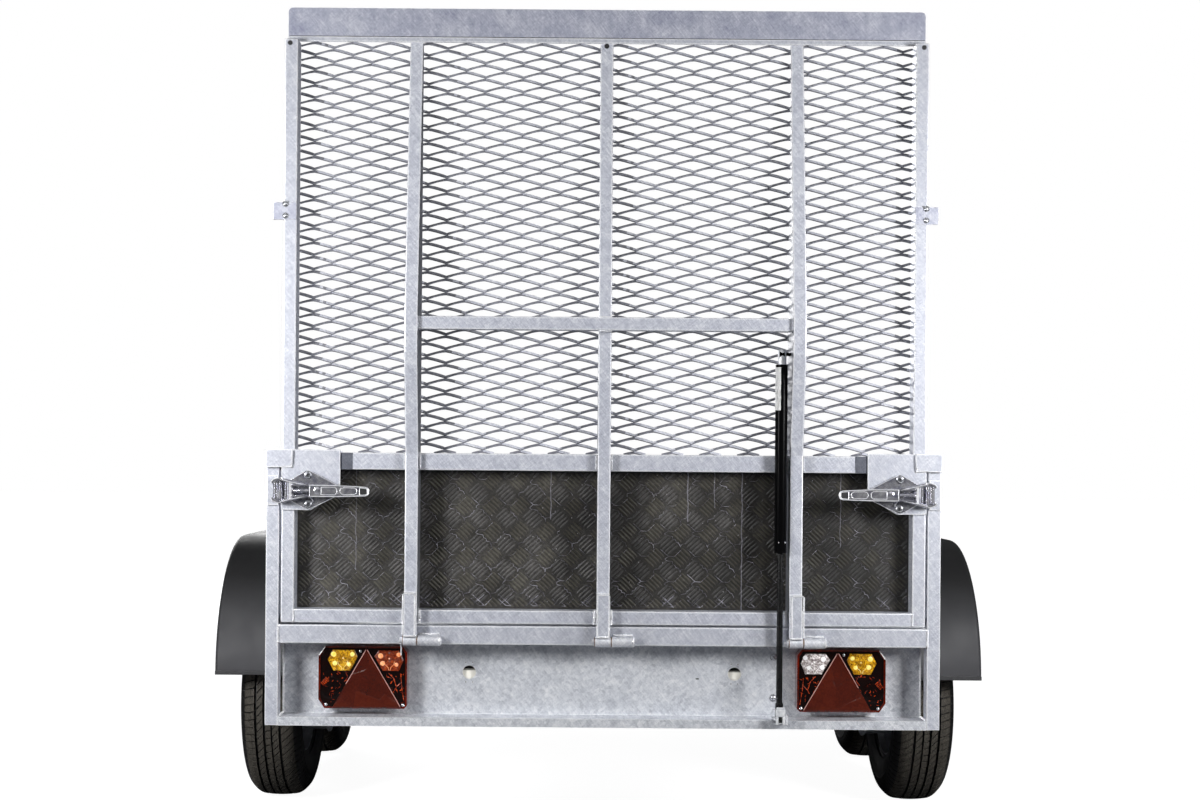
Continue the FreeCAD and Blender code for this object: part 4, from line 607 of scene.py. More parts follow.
def treadFinish(name, low, mid, high, **changes):
    # rolled checker plate, dulled and grimy: dark brown-grey with pale rubbed edges, drips and specks
    look = {**worn, **changes}
    made, tree, coords = startMaterial(name)
    cloud = addNode(tree, "TexNoise", {"Vector": coords, "Scale": 1 / (look["cloud"] * mm),
                                       "Detail": 4.0}, "Fac")
    grime = addNode(tree, "TexNoise", {"Vector": coords, "Scale": 1 / (7 * mm), "Detail": 6.0,
                                       "Roughness": 0.7}, "Fac")
    place = addNode(tree, "SeparateXYZ", (coords,)).outputs
    sources = [(cloud, look["clouds"]), (grime, 0.4), (place["X"], -0.1)]
    for lean in (40, -40):  # scuffs both ways
        scuff = addNode(tree, "Mapping", {"Vector": coords, **stretched((18, 18, 1.6), lean)}, 0,
                        vector_type="TEXTURE")
        sources.append((addNode(tree, "TexNoise", {"Vector": scuff, "Scale": 1.0, "Detail": 4.0,
                                                   "Roughness": 0.75}, "Fac"), 0.3))
    tone = 0.225 - look["clouds"] / 2
    for source, amount in sources:
        tone = addNode(tree, "Math", (source, amount, tone), 0, operation="MULTIPLY_ADD")
    colour = withStops(addNode(tree, "ValToRGB", (tone,)), ((0.55, low), (0.92, high), (0.72, mid)))
    spots = addNode(tree, "TexVoronoi", {"Vector": coords, "Scale": 1 / (19 * mm)}, "Distance")
    specks = withStops(addNode(tree, "ValToRGB", (spots,)), ((0.034, 1.0), (0.055, 0.0)))
    colour = addNode(tree, "Mix", {0: specks, 6: colour, 7: linear(look["speck"])}, 2, data_type="RGBA")
    wave = addNode(tree, "Mapping", {"Vector": coords, **stretched((1e5, 1e5, 30))}, 0, vector_type="TEXTURE")
    wave = addNode(tree, "TexNoise", {"Vector": wave, "Scale": 1.0, "Detail": 4.0}, "Fac")
    x = addNode(tree, "Math", (wave, 8 * mm, place["X"]), 0, operation="MULTIPLY_ADD")
    for centre, wide, end in look["drips"]:
        near = addNode(tree, "Math", (x, centre * mm, wide * mm), 0, operation="COMPARE")
        above = addNode(tree, "Math", (place["Z"], end * mm), 0, operation="GREATER_THAN")
        share = addNode(tree, "Math", (near, above), 0, operation="MULTIPLY")
        share = addNode(tree, "Math", (share, grime), 0, operation="MULTIPLY")
        colour = addNode(tree, "Mix", {0: share, 6: colour, 7: linear(look["drip"])}, 2, data_type="RGBA")
    bump = addNode(tree, "Bump", {"Height": grime, "Strength": 0.35, "Distance": 0.5 * mm}, 0)
    return endMaterial(made, tree, {"Base Color": colour, "Metallic": 0.2, "Roughness": look["rough"],
                                    "Normal": bump})


treadPlate = treadFinish("rolledTreadPlate", "#181715", "#292725", "#4e4c48")
treadBars = treadFinish("grimyTreadBars", "#282620", "#3c3932", "#625f57")
greyBars = treadFinish("rubbedTreadBars", "#2a2a29", "#41403f", "#686665")
# pale strokes: painted highlights on the bars' edges
treadGlint = treadFinish("paintedTreadGlint", "#353435", "#66646d", "#bcbac5", cloud=24.0, clouds=1.5)
dress(treadPlate, {"ramp_tread_panel": 0, "deck_plate": 0})
panelLo, panelHi = boxOf("ramp_tread_panel")
barGroups = makeBars("rampTreadBars", panelLo, (panelHi.x - panelLo.x, panelHi.z - panelLo.z),
                     Vector((0, 0, 1)), Vector((0, -1, 0)), tread["ramp"], "ramp")
makeStrokes(barGroups, panelLo, panelHi)
deckLo, deckHi = boxOf("deck_plate")
makeBars("deckTreadBars", Vector((deckLo.x, deckLo.y, deckHi.z)), (deckHi.x - deckLo.x, deckHi.y - deckLo.y),
         Vector((0, 1, 0)), Vector((0, 0, 1)), tread["deck"], "trailer")
print("the tread plates are made")


# tyres: four grooves round the tread, slanting sipes across its ribs, ringed sidewalls

tyre = {"pitches": 84, "sipeDepth": 6.0, "sipeShare": 0.17, "lugDepth": 1.6, "tread": 65.0,
        # (place, width, depth), the first a shallow wear line
        "grooves": ((-46.0, 1.2, 0.9), (-34.0, 6.6, 8.0), (-11.0, 6.2, 8.0), (9.0, 4.6, 7.0), (31.0, 6.4, 8.0)),
        # (from, to, slope of the sipes across the rib): from the tread's middle, outer shoulder first
        "ribs": ((-66.0, -37.5, 0.22), (-30.5, -14.5, 1.15), (-7.5, 2.0, 0.6), (11.5, 27.5, 1.15),
                 (34.5, 66.0, 0.85)),
        # (from the middle, below the crown) from the bead outwards
        "wall": ((62.5, 124.0), (66.0, 116.0), (70.5, 113.0), (72.0, 104.0), (75.5, 98.0), (79.0, 76.0),
                 (80.8, 62.0), (81.2, 60.5), (82.5, 59.5), (82.5, 55.0), (81.2, 54.0), (81.2, 49.0),
                 (80.6, 44.0), (79.2, 37.6), (78.0, 34.6), (76.8, 31.2), (74.2, 26.6), (70.2, 21.4))}


def crown(x):
    # how far the tread's surface drops below its crown, x from the middle
    return 4.2 * (x / 50.0) ** 2 + 0.02 * max(0.0, abs(x) - 44.0) ** 2


def tyreProfile(radius, half):
    # (distance across, radius, is it tread) from the outer bead to the inner one
    surface = [(side * tyre["tread"], crown(tyre["tread"])) for side in (-1, 1)]
    for centre, width, depth in tyre["grooves"]:
        for edge, drop in ((-0.5, 0), (-0.38, depth), (0.38, depth), (0.5, 0)):
            x = centre + edge * width
            surface.append((x, drop + crown(x)))
    for first, last, slope in tyre["ribs"]:
        count = math.ceil((last - first) / 5)
        for i in range(1, count):
            x = first + (last - first) * i / count
            if abs(x) < tyre["tread"] - 1 and all(abs(x - other) > 1.5 for other, drop in surface):
                surface.append((x, crown(x)))
    scale = half / max(x for x, drop in tyre["wall"])
    outside, inside = [[(side * x * scale, radius - drop, False) for x, drop in tyre["wall"]]
                       for side in (-1, 1)]
    return outside + [(x, radius - drop, True) for x, drop in sorted(surface)] + inside[::-1]


def makeTyre(place):
    lo, hi = boxOf(f"tyre_{place}")
    outer = -1.0 if place.endswith("left") else 1.0  # the side that faces away from the bed
    centre = (lo + hi) / 2
    radius = (hi.z - lo.z) / 2
    profile = tyreProfile(radius, (hi.x - lo.x) / 2)
    share = tyre["sipeShare"]
    stations = ((0.0, 0.0), (share * 0.16, 1.0), (share * 0.84, 1.0), (share, 0.0), (0.55, 0.0))
    leans, lean, last = [], 0.0, profile[0][0]
    for x, reach, isTread in profile:
        slope = next((s for a, b, s in tyre["ribs"] if a - 3 <= x <= b + 3), 0.0) if isTread else 0.0
        lean += slope * (x - last) / reach
        leans.append(lean)
        last = x
    bm = bmesh.new()
    rings, cuts = [], []
    for pitch in range(tyre["pitches"]):
        for part, cut in stations:
            angle = 2 * math.pi * (pitch + part) / tyre["pitches"]
            ring = []
            for (x, reach, isTread), lean in zip(profile, leans):
                if isTread and any(a <= x <= b for a, b, s in tyre["ribs"]):
                    reach -= tyre["sipeDepth"] * cut
                elif not isTread and abs(x) > 66 and reach > radius - 38:
                    reach -= tyre["lugDepth"] * cut
                turn = angle + lean * outer
                spoke = Vector((-x * outer, reach * math.cos(turn), reach * math.sin(turn)))
                ring.append(bm.verts.new(centre + spoke))
            rings.append(ring)
            cuts.append(cut)
    for n, (a, b) in enumerate(zip(rings, rings[1:] + rings[:1])):
        sipe = cuts[n] + cuts[(n + 1) % len(cuts)] > 1
        for i in range(len(profile)):
            k = (i + 1) % len(profile)
            face = bm.faces.new((a[i], a[k], b[k], b[i]))
            ends = profile[i], profile[k]
            rib = all(isTread and reach > radius - crown(x) - 1.0 for x, reach, isTread in ends)
            # painted shade: groove and sipe faces take the near-black sidewall rubber
            face.material_index = 0 if rib and not sipe else 1
    makePiece(f"tyreCover_{place}", bm, (treadRubber, wallRubberAndGrooveShade), f"wheel_{place}", "tyre_rubber", smooth=32.0,
              stands=(f"tyre_{place}",))


# dry, dusty tread: brown-grey and grainy
treadRubber = plainFinish("scuffedTreadRubber", "#1f1d1b", "#5d584f", 0.8, spread=0.05, grain=0.9, patch=3.0,
                          bump=0.5, depth=0.5)
# sidewall: near black, satin; the same rubber is painted shade in the grooves and sipes
wallRubberAndGrooveShade = plainFinish("tyreWallRubberAndGrooveShade", "#0b0a0a", "#131212", 0.5, grain=0.8, bump=0.3)
for wheelPlace in wheelPlaces:
    makeTyre(wheelPlace)
print("the tyres are made")


# rear lamps: measures from the middle of the lamp, outer side first

lamp = {"half": (102.5, 72.5), "cuts": ((14.5, 21.0), (14.5, 21.0), (7.0, 7.0), (10.5, 15.0)), "rim": 5.0,
        "amber": ((81.5, 41.0), (70.0, 63.5), (19.0, 63.5), (11.8, 47.0), (29.0, 14.5), (68.0, 14.5)),
        "inner": ((-26.5, 48.5), (-36.5, 62.5), (-84.5, 62.5), (-94.5, 40.0), (-84.0, 14.5), (-46.0, 14.5)),
        "triangle": ((-8.9, 66.5), (70.0, -69.5), (-88.5, -69.0)), "round": (74.0, -26.0, 23.0), "rings": 5,
        "screws": ((5.2, 60.0), (85.0, -63.6), (-93.5, -64.3)),
        # painted highlights: (x, z, radius) of the bright spots in a window, and the bent filament legs under
        # them, from its middle
        "spots": ((-21, 12, 5.5), (20, 11, 6.5), (-14, -10, 5.0), (17, -9, 6.0), (0, 3, 2.0)),
        "legs": ((0.2, -24), (0.5, -17), (1.6, -11), (2, -3)),
        # painted glints: fields of bright shards as (x from, to), (z from, to), and wavy lines
        "shards": 34, "fields": (((30, 92), (-58, 12)), ((-96, -52), (-60, 8))),
        "waves": (((-60, 10), (-72, -2), (-78, -22), (-74, -30)), ((-78, -22), (-88, -12)),
                  ((40, 12), (34, 0), (42, -10)), ((-88, 6), (-90, -20), (-96, -55)))}


def lensWithPaintedGlow(name, low, mid, high, facet, paintedGlow, rough=0.16, coat=0.5):
    # clear coloured plastic over a mirror bowl: painted reflections as bright spots from the bowl, a ribbed
    # back, dark seams, and a painted glow from emission, though the lamp is off
    made, tree, coords = startMaterial(name)
    facets = addNode(tree, "TexVoronoi", {"Vector": coords, "Scale": 1 / (facet * mm)}, "Color")
    shape = addNode(tree, "SeparateXYZ", (facets,), "X")
    swirl = addNode(tree, "TexNoise", {"Vector": coords, "Scale": 1 / (9 * mm), "Detail": 4.0,
                                       "Distortion": 1.4}, "Fac")
    tone = addNode(tree, "Math", (shape, 0.35, swirl), 0, operation="MULTIPLY_ADD")
    colour = withStops(addNode(tree, "ValToRGB", (tone,)), ((0.3, low), (0.95, high), (0.62, mid)))
    bump = addNode(tree, "Bump", {"Height": shape, "Strength": 0.5, "Distance": 0.8 * mm}, 0)
    return endMaterial(made, tree, {
        "Base Color": colour, "Roughness": rough, "IOR": 1.49, "Coat Weight": coat, "Coat Roughness": 0.04,
        "Emission Color": colour, "Emission Strength": paintedGlow, "Normal": bump})


lampRed = lensWithPaintedGlow("redAcrylic", "#2c0a05", "#4a1208", "#6a1a0a", 30.0, 0.08)
lampShard = lensWithPaintedGlow("paintedRedGlints", "#1c0603", "#5e1807", "#d8501c", 3.0, 0.22)
lampAmber = lensWithPaintedGlow("amberAcrylic", "#2e1a02", "#8f6008", "#deab18", 2.6, 0.1)
lampFog = lensWithPaintedGlow("fogRedAcrylic", "#240903", "#601d08", "#963710", 2.6, 0.1)
lampClear = lensWithPaintedGlow("clearAcrylic", "#4a3f3b", "#8f8584", "#f4efee", 3.0, 0.15)
triangleRed = lensWithPaintedGlow("reflectorRed", "#310c04", "#3e1005", "#4b1708", 60.0, 0.08, 0.26, 0.0)
# painted highlights in a window: bright spots for the light that the bulb and the bowl reflect
lampAmberSpot = plainFinish("amberHighlight", "#f4cf2c", "#fdf3a0", 0.2, patch=5.0)
lampFogSpot = plainFinish("orangeHighlight", "#f07a3c", "#ffc58a", 0.2, patch=5.0)
lampClearSpot = plainFinish("whiteHighlight", "#f4f2f2", "#ffffff", 0.2, patch=5.0)
# black print behind the lens, glossy through it
lampMask = plainFinish("blackLampMask", "#060404", "#160806", 0.14, patch=14.0, bump=0.1)
# painted highlight: pale strips along the reflector's slanted rims
triangleEdgeHighlight = plainFinish("reflectorEdgeHighlight", "#b5837c", "#dba9a2", 0.3, patch=12.0)
# turned stainless steel: small, clean and bright
screwSteel = plainFinish("stainlessScrew", "#a9abb0", "#dcdee2", 0.28, metal=1.0, patch=6.0)


def insetOutline(points, inset):
    # moves every edge of a convex outline inwards by inset
    pairs = list(zip(points, points[1:] + points[:1]))
    turn = 1 if sum(a[0] * b[1] - b[0] * a[1] for a, b in pairs) > 0 else -1
    lines = []
    for a, b in pairs:
        d = Vector((b[0] - a[0], b[1] - a[1])).normalized()
        lines.append((Vector(a) + Vector((-d.y, d.x)) * inset * turn, d))
    made = []
    for (p, d), (q, e) in zip(lines[-1:] + lines[:-1], lines):
        cross = d.x * e.y - d.y * e.x
        gap = q - p
        made.append(tuple(q) if abs(cross) < 1e-9 else tuple(p + d * ((gap.x * e.y - gap.y * e.x) / cross)))
    return made


def makeLamp(side, innerName, innerFinish, innerSpot, innerSlot, innerNode):
    lo, hi = boxOf("lamp_housings")
    w, h = lamp["half"]
    centreX, centreZ, face = side * (hi.x - w), (lo.z + hi.z) / 2, lo.y
    tag = "left" if side < 0 else "right"

    def at(points, front=None):
        places = [(centreX + side * x, centreZ + z) for x, z in points]
        return places if front is None else [(x, face - front, z) for x, z in places]

    def plate(bm, outline, front, back, inset=0.0):
        addPlate(bm, at(outline), face - front, face - back, inset)

    def strip(bm, start, end, across, front, back, inset=0.0):
        plate(bm, [start - across, start + across, end + across, end - across], front, back, inset)

    def finish(name, bm, finishes, slotName="lamp_red", **more):
        makePiece(f"{name}_{tag}", bm, finishes, "trailer", slotName, **more)

    (ox, oz), (px, pz), (qx, qz), (rx, rz) = lamp["cuts"]
    outline = [(w - ox, h), (w, h - oz), (w, -h + pz), (w - px, -h), (-w + qx, -h), (-w, -h + qz), (-w, h - rz),
               (-w + rx, h)]
    bm = bmesh.new()
    plate(bm, insetOutline(outline, lamp["rim"]), 1.2, 0.0)
    finish("lampMask", bm, lampMask, edge=0.5)
    bm = bmesh.new()
    inner = insetOutline(outline, lamp["rim"] - 1.2)
    for i in range(8):
        k = (i + 1) % 8
        quad = [outline[i], outline[k], inner[k], inner[i]]
        addLoops(bm, [at(quad, 0.0), at(quad[:2], 1.4) + at(quad[2:], 2.2)])
    finish("lampRim", bm, lampRed)
    for name, shape, glass, spotFinish, slotName, stands in (
            ("lampAmberWindow", lamp["amber"], lampAmber, lampAmberSpot, "lamp_amber", "lamp_indicators"),
            (innerName, lamp["inner"], innerFinish, innerSpot, innerSlot, innerNode)):
        bm = bmesh.new()
        plate(bm, shape, 3.6, 0.6, 1.6)
        finish(name, bm, glass, slotName, edge=0.4, stands=(stands,))
        bm = bmesh.new()
        middle = Vector((sum(x for x, z in shape) / 6, sum(z for x, z in shape) / 6))
        dice = random.Random(len(name) + side)
        for dx, dz, size in lamp["spots"]:
            spot = middle + Vector((dx + dice.uniform(-2, 2), dz + dice.uniform(-2, 2)))
            rings = ((0.0, size), (0.5, size * 0.85), (1.0, size * 0.4), (1.1, size * 0.05))
            addTurned(bm, rings, at([spot], 3.4)[0], sides=14)
        for foot in (-6, 6):
            addWire(bm, at([middle + Vector((foot * x, z)) for x, z in lamp["legs"]], 3.9), 0.55)
        finish(f"{name}Bowl", bm, spotFinish, slotName)
    bm = bmesh.new()
    plate(bm, lamp["triangle"], 5.6, 0.4, 1.0)
    finish("lampTriangle", bm, triangleRed, "lamp_reflector", edge=0.5, stands=("lamp_reflectors",))
    apex, outFoot, inFoot = (Vector(p) for p in lamp["triangle"])
    # painted highlight down the inner slant and the upper part of the outer slant
    bm = bmesh.new()
    for foot, reach in ((inFoot, 0.99), (outFoot, 0.6)):
        start, end = apex.lerp(foot, 0.02), apex.lerp(foot, reach)
        across = Vector((end.y - start.y, start.x - end.x)).normalized() * 0.65
        strip(bm, start, end, across, 5.9, 4.0)
    finish("lampTriangleHighlight", bm, triangleEdgeHighlight, "lamp_reflector")
    # painted highlight: a pale strip along the outer top chamfer
    bm = bmesh.new()
    start, end = Vector((w - 1.2, h - oz - 1.0)), Vector((w - ox - 1.0, h - 1.2))
    strip(bm, start, end, Vector((1, 1)).normalized() * 0.9, 2.6, 1.0)
    finish("lampChamferHighlight", bm, lampClearSpot)

    # round tail lens with its rings, and a painted highlight: the bright ribbed block at its upper outer rim
    cx, cz, radius = lamp["round"]
    bm = bmesh.new()
    profile = [(0.0, radius + 1.5), (0.8, radius + 1.5), (1.0, radius)]
    for k in range(lamp["rings"]):
        ring = radius * (1 - (k + 1) / 6.5)
        profile += [(1.0, ring + 1.1), (0.55, ring + 0.8), (0.55, ring + 0.3), (1.0, ring)]
    addTurned(bm, profile + [(1.0, 0.2)], at([(cx, cz)], 0.6)[0], sides=40)
    finish("lampTailLens", bm, lampMask)
    bm = bmesh.new()
    for k in range(5):
        start = Vector((cx + 12 + k * 2.6, cz + 26 - k * 3.0))
        strip(bm, start, start - Vector((7.5, 7.5)), Vector((1, -1)).normalized() * 0.95, 2.6, 1.0, 0.3)
    dice = random.Random(7 + side)
    for fieldX, fieldZ in lamp["fields"]:
        for _ in range(lamp["shards"]):
            px, pz = dice.uniform(*fieldX), dice.uniform(*fieldZ)
            lean, long, wide = dice.uniform(0, math.pi), dice.uniform(1.2, 5.5), dice.uniform(0.5, 1.3)
            plate(bm, [(px + math.cos(lean) * long * a - math.sin(lean) * wide * b,
                        pz + math.sin(lean) * long * a + math.cos(lean) * wide * b)
                       for a, b in ((-1, 0), (0, -1), (1, 0), (0.2, 1))], 1.9, 1.1, 0.1)
    for points in lamp["waves"]:
        addWire(bm, at(points, 1.6), 0.8)
    finish("lampFacets", bm, lampShard)
    bm = bmesh.new()
    for place in at(lamp["screws"], 1.2):
        addTurned(bm, ((0, 3.4), (1.2, 3.3), (2.0, 2.2), (2.2, 0.4)), place, sides=16)
    finish("lampScrews", bm, screwSteel, "bright_zinc")


makeLamp(1, "lampReverseWindow", lampClear, lampClearSpot, "lamp_clear", "lamp_reverse")
makeLamp(-1, "lampFogWindow", lampFog, lampFogSpot, "lamp_orange", "lamp_fog")
dress(lampRed, {"lamp_housings": 1.0})
print("the lamps are made")


# over-centre latches on the ramp's gussets: measures from the latch's middle, towards the ramp's middle and up

latch = {"at": (677.0, 884.0), "face": -2140.0, "front": -2171.0,
         "plate": ((-62, 13), (-8, 43), (0, 46), (8, 43), (66, 13), (66, -12), (9, -40), (0, -43), (-9, -40),
                   (-62, -12)),
         "arm": ((-60, 29), (-8, 17), (-8, 11.5), (-60, 21)),  # one of the yoke's two arms
         # one of the yoke's two lips
         "claw": ((-84, 19), (-80, 25), (-70, 28), (-60, 29), (-60, 22), (-72, 20), (-80, 14)),
         "barrels": ((-73, 6.0, 20), (-62.5, 4.6, 21), (-48.5, 5.0, 20)),  # place, radius, half length
         "screws": ((-1, 36), (0, -31)), "screw": 9.4,
         "grip": ((6, 14), (70, 13.5), (134, 10.5), (141, 8), (143.5, 3), (143.5, -5), (141, -10), (134, -12.5),
                  (70, -14.5), (6, -14.5)),
         "pockets": (((34, 8), (65, 8), (70, 4), (70, -5), (65, -9), (34, -9)),
                     ((76, 0), (80, 6), (86, 7.5), (109, 7), (114, 4), (115, 0), (114, -5), (109, -8),
                      (86, -8.5), (80, -7)),
                     ((121, 7.5), (137, 6), (139, 3), (139, -5), (137, -8), (121, -9.5))),
         "spring": (7, 20, 4.4)}  # turns, length, radius
# cheap bright chrome: blue-grey, slightly rippled
chromePlate = plainFinish("chromedPressing", "#85869a", "#f8f8fc", 0.17, metal=0.85, patch=11.0, grain=5.0,
                          bump=0.2, depth=0.8)
# rolled rims, pins and rivets: near-white chrome, partly a painted highlight on the rims and round holes
chromeAndEdgeHighlight = plainFinish("brightChromeAndEdgeHighlight", "#e3e4ea", "#fbfbfd", 0.34, metal=0.75, patch=6.0, bump=0.1)
# zinc-plated screw, dulled by handling
screwHead = plainFinish("passivatedScrewHead", "#6d6f75", "#b0b2b8", 0.3, metal=0.9, patch=5.0)
# painted shade: near-black for holes, slots, recesses and gaps
darkGap = plainFinish("shadowedGap", "#0b0b0c", "#1c1c1f", 0.7)


def makeLatch(side):
    cx, cz = latch["at"]
    face, front = latch["face"], latch["front"]
    tag = "left" if side < 0 else "right"

    def at(points, sign=1):
        return [(side * (cx - x), cz + z * sign) for x, z in points]

    def spot(x, z, y):
        return Vector((side * (cx - x), y, cz + z))

    def ring(bm, points, y, radius):
        # a bead that runs round an outline
        loop = [(x, y, z) for x, z in at(points)]
        addWire(bm, loop + loop[:1], radius)

    bm = bmesh.new()
    addPlate(bm, at(latch["plate"]), face - 3.5, face, 0.6)
    for sign in (1, -1):
        addPlate(bm, at(latch["arm"], sign), face - 16, face - 3.6, 1.2)
        addPlate(bm, at(latch["claw"], sign), face - 15, face - 2, 1.5)
    for x, radius, half in latch["barrels"]:
        y = face - radius - 3.0
        addRod(bm, spot(x, -half, y), spot(x, half, y), radius, 18)
    makePiece(f"latchPlate_{tag}", bm, chromePlate, "ramp", "bright_zinc", edge=0.6, stands=("latch_bases",))

    bm = bmesh.new()
    addPlate(bm, at([(-42, 20), (-35, 19), (-35, -19), (-42, -20)]), face - 17, face - 3, 0.8)
    for x, z in latch["screws"]:
        r, made = latch["screw"], len(bm.faces)
        addTurned(bm, ((0, r), (1.6, r), (3.4, r * 0.82), (4.4, r * 0.5), (4.6, r * 0.1)),
                  spot(x, z, face - 3.4), sides=24)
        bm.faces.ensure_lookup_table()
        for headFace in bm.faces[made:]:
            headFace.material_index = 1
        turned = [(x + r * 0.8 * math.cos(0.9 * a), z + r * 0.8 * math.sin(0.9 * a)) for a in range(7)]
        ring(bm, turned, face - 6.6, 0.6)
    # pale beads round the plate, the grip and its pockets: partly painted highlight on the rolled rims
    ring(bm, latch["plate"], face - 3.2, 0.7)
    ring(bm, insetOutline(latch["grip"], 1.6), front + 1.2, 1.3)
    for pocket in latch["pockets"]:
        ring(bm, pocket, front + 0.9, 0.9)
    for sign in (1, -1):
        for points, y, radius in ((((-60, 25.5), (-34, 19), (-8, 14), (8, 12.5)), front + 4, 1.1),
                                  (((-84, 18), (-79, 24.5), (-70, 27.5), (-60, 28.5)), face - 14.5, 1.2)):
            addWire(bm, [spot(x, z * sign, y) for x, z in points], radius)
    addWire(bm, [spot(x, z, face - 9) for x, z in ((4, -13), (9, -19), (12, -24), (9, -27))], 1.0)
    makePiece(f"latchTrim_{tag}", bm, (chromeAndEdgeHighlight, screwHead), "ramp", "bright_zinc")

    bm = bmesh.new()
    addPlate(bm, at(latch["grip"]), front + 1.0, front + 11.0, 1.4)
    for sign in (1, -1):
        addPlate(bm, at([(-35, 14.2), (7, 14.2), (7, 10.5), (-35, 10.5)], sign), front + 2, front + 13, 0.8)
    addTurned(bm, ((0, 8.5), (1.5, 8.2), (2.4, 6.5), (2.8, 0.5)), spot(24.5, 0.5, front + 2.5), sides=24)
    addRod(bm, spot(-18, 0.5, front + 6), spot(26, 0.5, front + 6), 2.6, 12)
    turns, long, radius = latch["spring"]
    addWire(bm, [spot(-34 + long * i / (turns * 12), radius * math.cos(i * math.pi / 6),
                      front + 8 + radius * math.sin(i * math.pi / 6)) for i in range(turns * 12 + 1)], 0.8, 5)
    makePiece(f"latchGrip_{tag}", bm, chromePlate, "ramp", "bright_zinc", edge=0.5, stands=("latch_handles",))

    # painted shade: dark cross slots in the screws and a dark inset in the grip's end pocket
    bm = bmesh.new()
    for x, z in latch["screws"]:
        for lean in (25, 115):
            dx, dz = math.cos(math.radians(lean)), math.sin(math.radians(lean))
            slot = [(x + dx * a - dz * b, z + dz * a + dx * b)
                    for a, b in ((-4.2, -0.8), (4.2, -0.8), (4.2, 0.8), (-4.2, 0.8))]
            addPlate(bm, at(slot), face - 8.2, face - 6.0)
    addPlate(bm, at(insetOutline(latch["pockets"][2], 1.0)), front + 0.8, front + 1.4)
    makePiece(f"latchRecesses_{tag}", bm, darkGap, "ramp", "bright_zinc")


for latchSide in (-1, 1):
    makeLatch(latchSide)
print("the latches are made")


# bolts, clips, holes and weld beads

fixing = {
    "port": ((-310, 461), (310, 461)), "portHoles": ((-8, 23), (8, 23), (-8, -23), (8, -23)),
    "panelFace": -2060.0,
    "domes": ((401.0, 502.0), (401.0, 406.0)), "tabScrews": ((735.0, 1541.0), (735.0, 1514.0)),
    "vents": ((-728.0, 1912.0, -2130.0), (-2.0, 1894.0, -2192.0), (728.0, 1912.0, -2130.0)),
    "pin": (-461.0, -2146.0, 546.0), "beams": (-440, 0, 440),  # x of the ramp's three upright beams
}
strut = {
    "eye": (406.5, -2149.0, 368.5),
    # the clevis round its lower eye, and the tongue between its cheeks: x from, x to, z from, z to, reach out
    "clevis": ((-10.8, 10.8, 8.0, 24.0, 10.5), (-9.4, 9.4, 24.0, 29.5, 10.5), (-10.8, -4.6, -10.5, 8.0, 10.5),
               (4.6, 10.8, -10.5, 8.0, 10.5), (-4.4, 4.4, -8.5, 7.0, 8.0)),
    # bolt head and nut: x off the eye, then (along, radius)
    "bolt": ((-18.6, ((0, 5.6), (0.8, 7.4), (6.4, 7.4), (7.2, 6.0))),
             (11.4, ((0, 7.0), (5.0, 7.0), (5.8, 5.6)))),
    "clip": ((-11, 26), (-19, 25), (-20, 22), (-20, 0), (-19, -5), (-12, -7)),
    "cap": ((-37, 6), (-35, 9), (-31, 9.6), (-3, 9.6), (0, 8.6), (2, 6), (2.5, 1)),  # (up from the top, radius)
    "label": (40, 138, 14.2, range(-96, -11, 7)),  # down from the top, radius, degrees round from the rear
    "rivets": (7.2, 11.6, 24.0),  # off the middle, outwards, up from the cylinder's lower end
}
hinge = {
    "line": (-2145.0, 543.0),  # y, z
    "sleeves": (("frameSleeves", "trailer", ((-423.5, -374), (20.5, 68), (459.5, 507))),
                ("rampSleeves", "ramp", ((-457, -426), (-18, 18), (426, 457)))),
    "seams": ((1.8, (-425, 19, 458)), (1.4, (-458, -19, 425))),  # thickness, places in x
    "welds": ((-420, -374), (24, 68), (462, 507)), "weldAt": (-2131, 556.5), "seed": 70,
    # beads on the strap over each beam's lower end: x from, x to, y, z from, z to, radius, seed
    "strap": ((-13.4, -13.4, -2189.5, 560, 652, 2.4, -1), (13.4, 13.4, -2189.5, 560, 652, 2.4, 1),
              (-12, 12, -2190.5, 653.5, 653.5, 1.9, 7), (-15, 15, -2157.5, 554.5, 554.5, 3.0, 11)),
}
# dull beige primer
primedSteel = plainFinish("primedSteel", "#e6e3d8", "#f6f3ea", 0.6)
# dark zinc for a painted shadow
railEndShadowZinc = galvanised("railEndShadowZinc", "#4a4c55", "#62656f", "#7d808a", edges=0.0)
# zinc-plated bolt, grubby: grey with a bright edge
boltSteel = plainFinish("darkBoltSteel", "#85888e", "#d2d4d9", 0.4, metal=0.8, patch=3.0)
# plain white film
labelFilm = plainFinish("labelFilm", "#fbfbfa", "#ffffff", 0.6)
# thin brown rust where water stands
rust = plainFinish("rustedSeam", "#3a2210", "#7a5226", 0.85, patch=3.0)
# weld bead dipped after welding: lumpy, streaked zinc
weldSteel = galvanised("galvanisedWeld", "#9b9ca2", "#cfd0d5", "#f8f9fa", crystal=4.0, bump=0.8, edges=0.5,
                       rough=0.32)
hingeZinc = galvanised("hingeZinc", "#a5a8b3", "#cfd1d8", "#f5f6f8", edges=0.4)
# pale zinc casting, soft shine
clevisZinc = plainFinish("castClevisZinc", "#b9bcc2", "#f2f3f5", 0.36, metal=0.35, patch=12.0, grain=2.0,
                         bump=0.15)


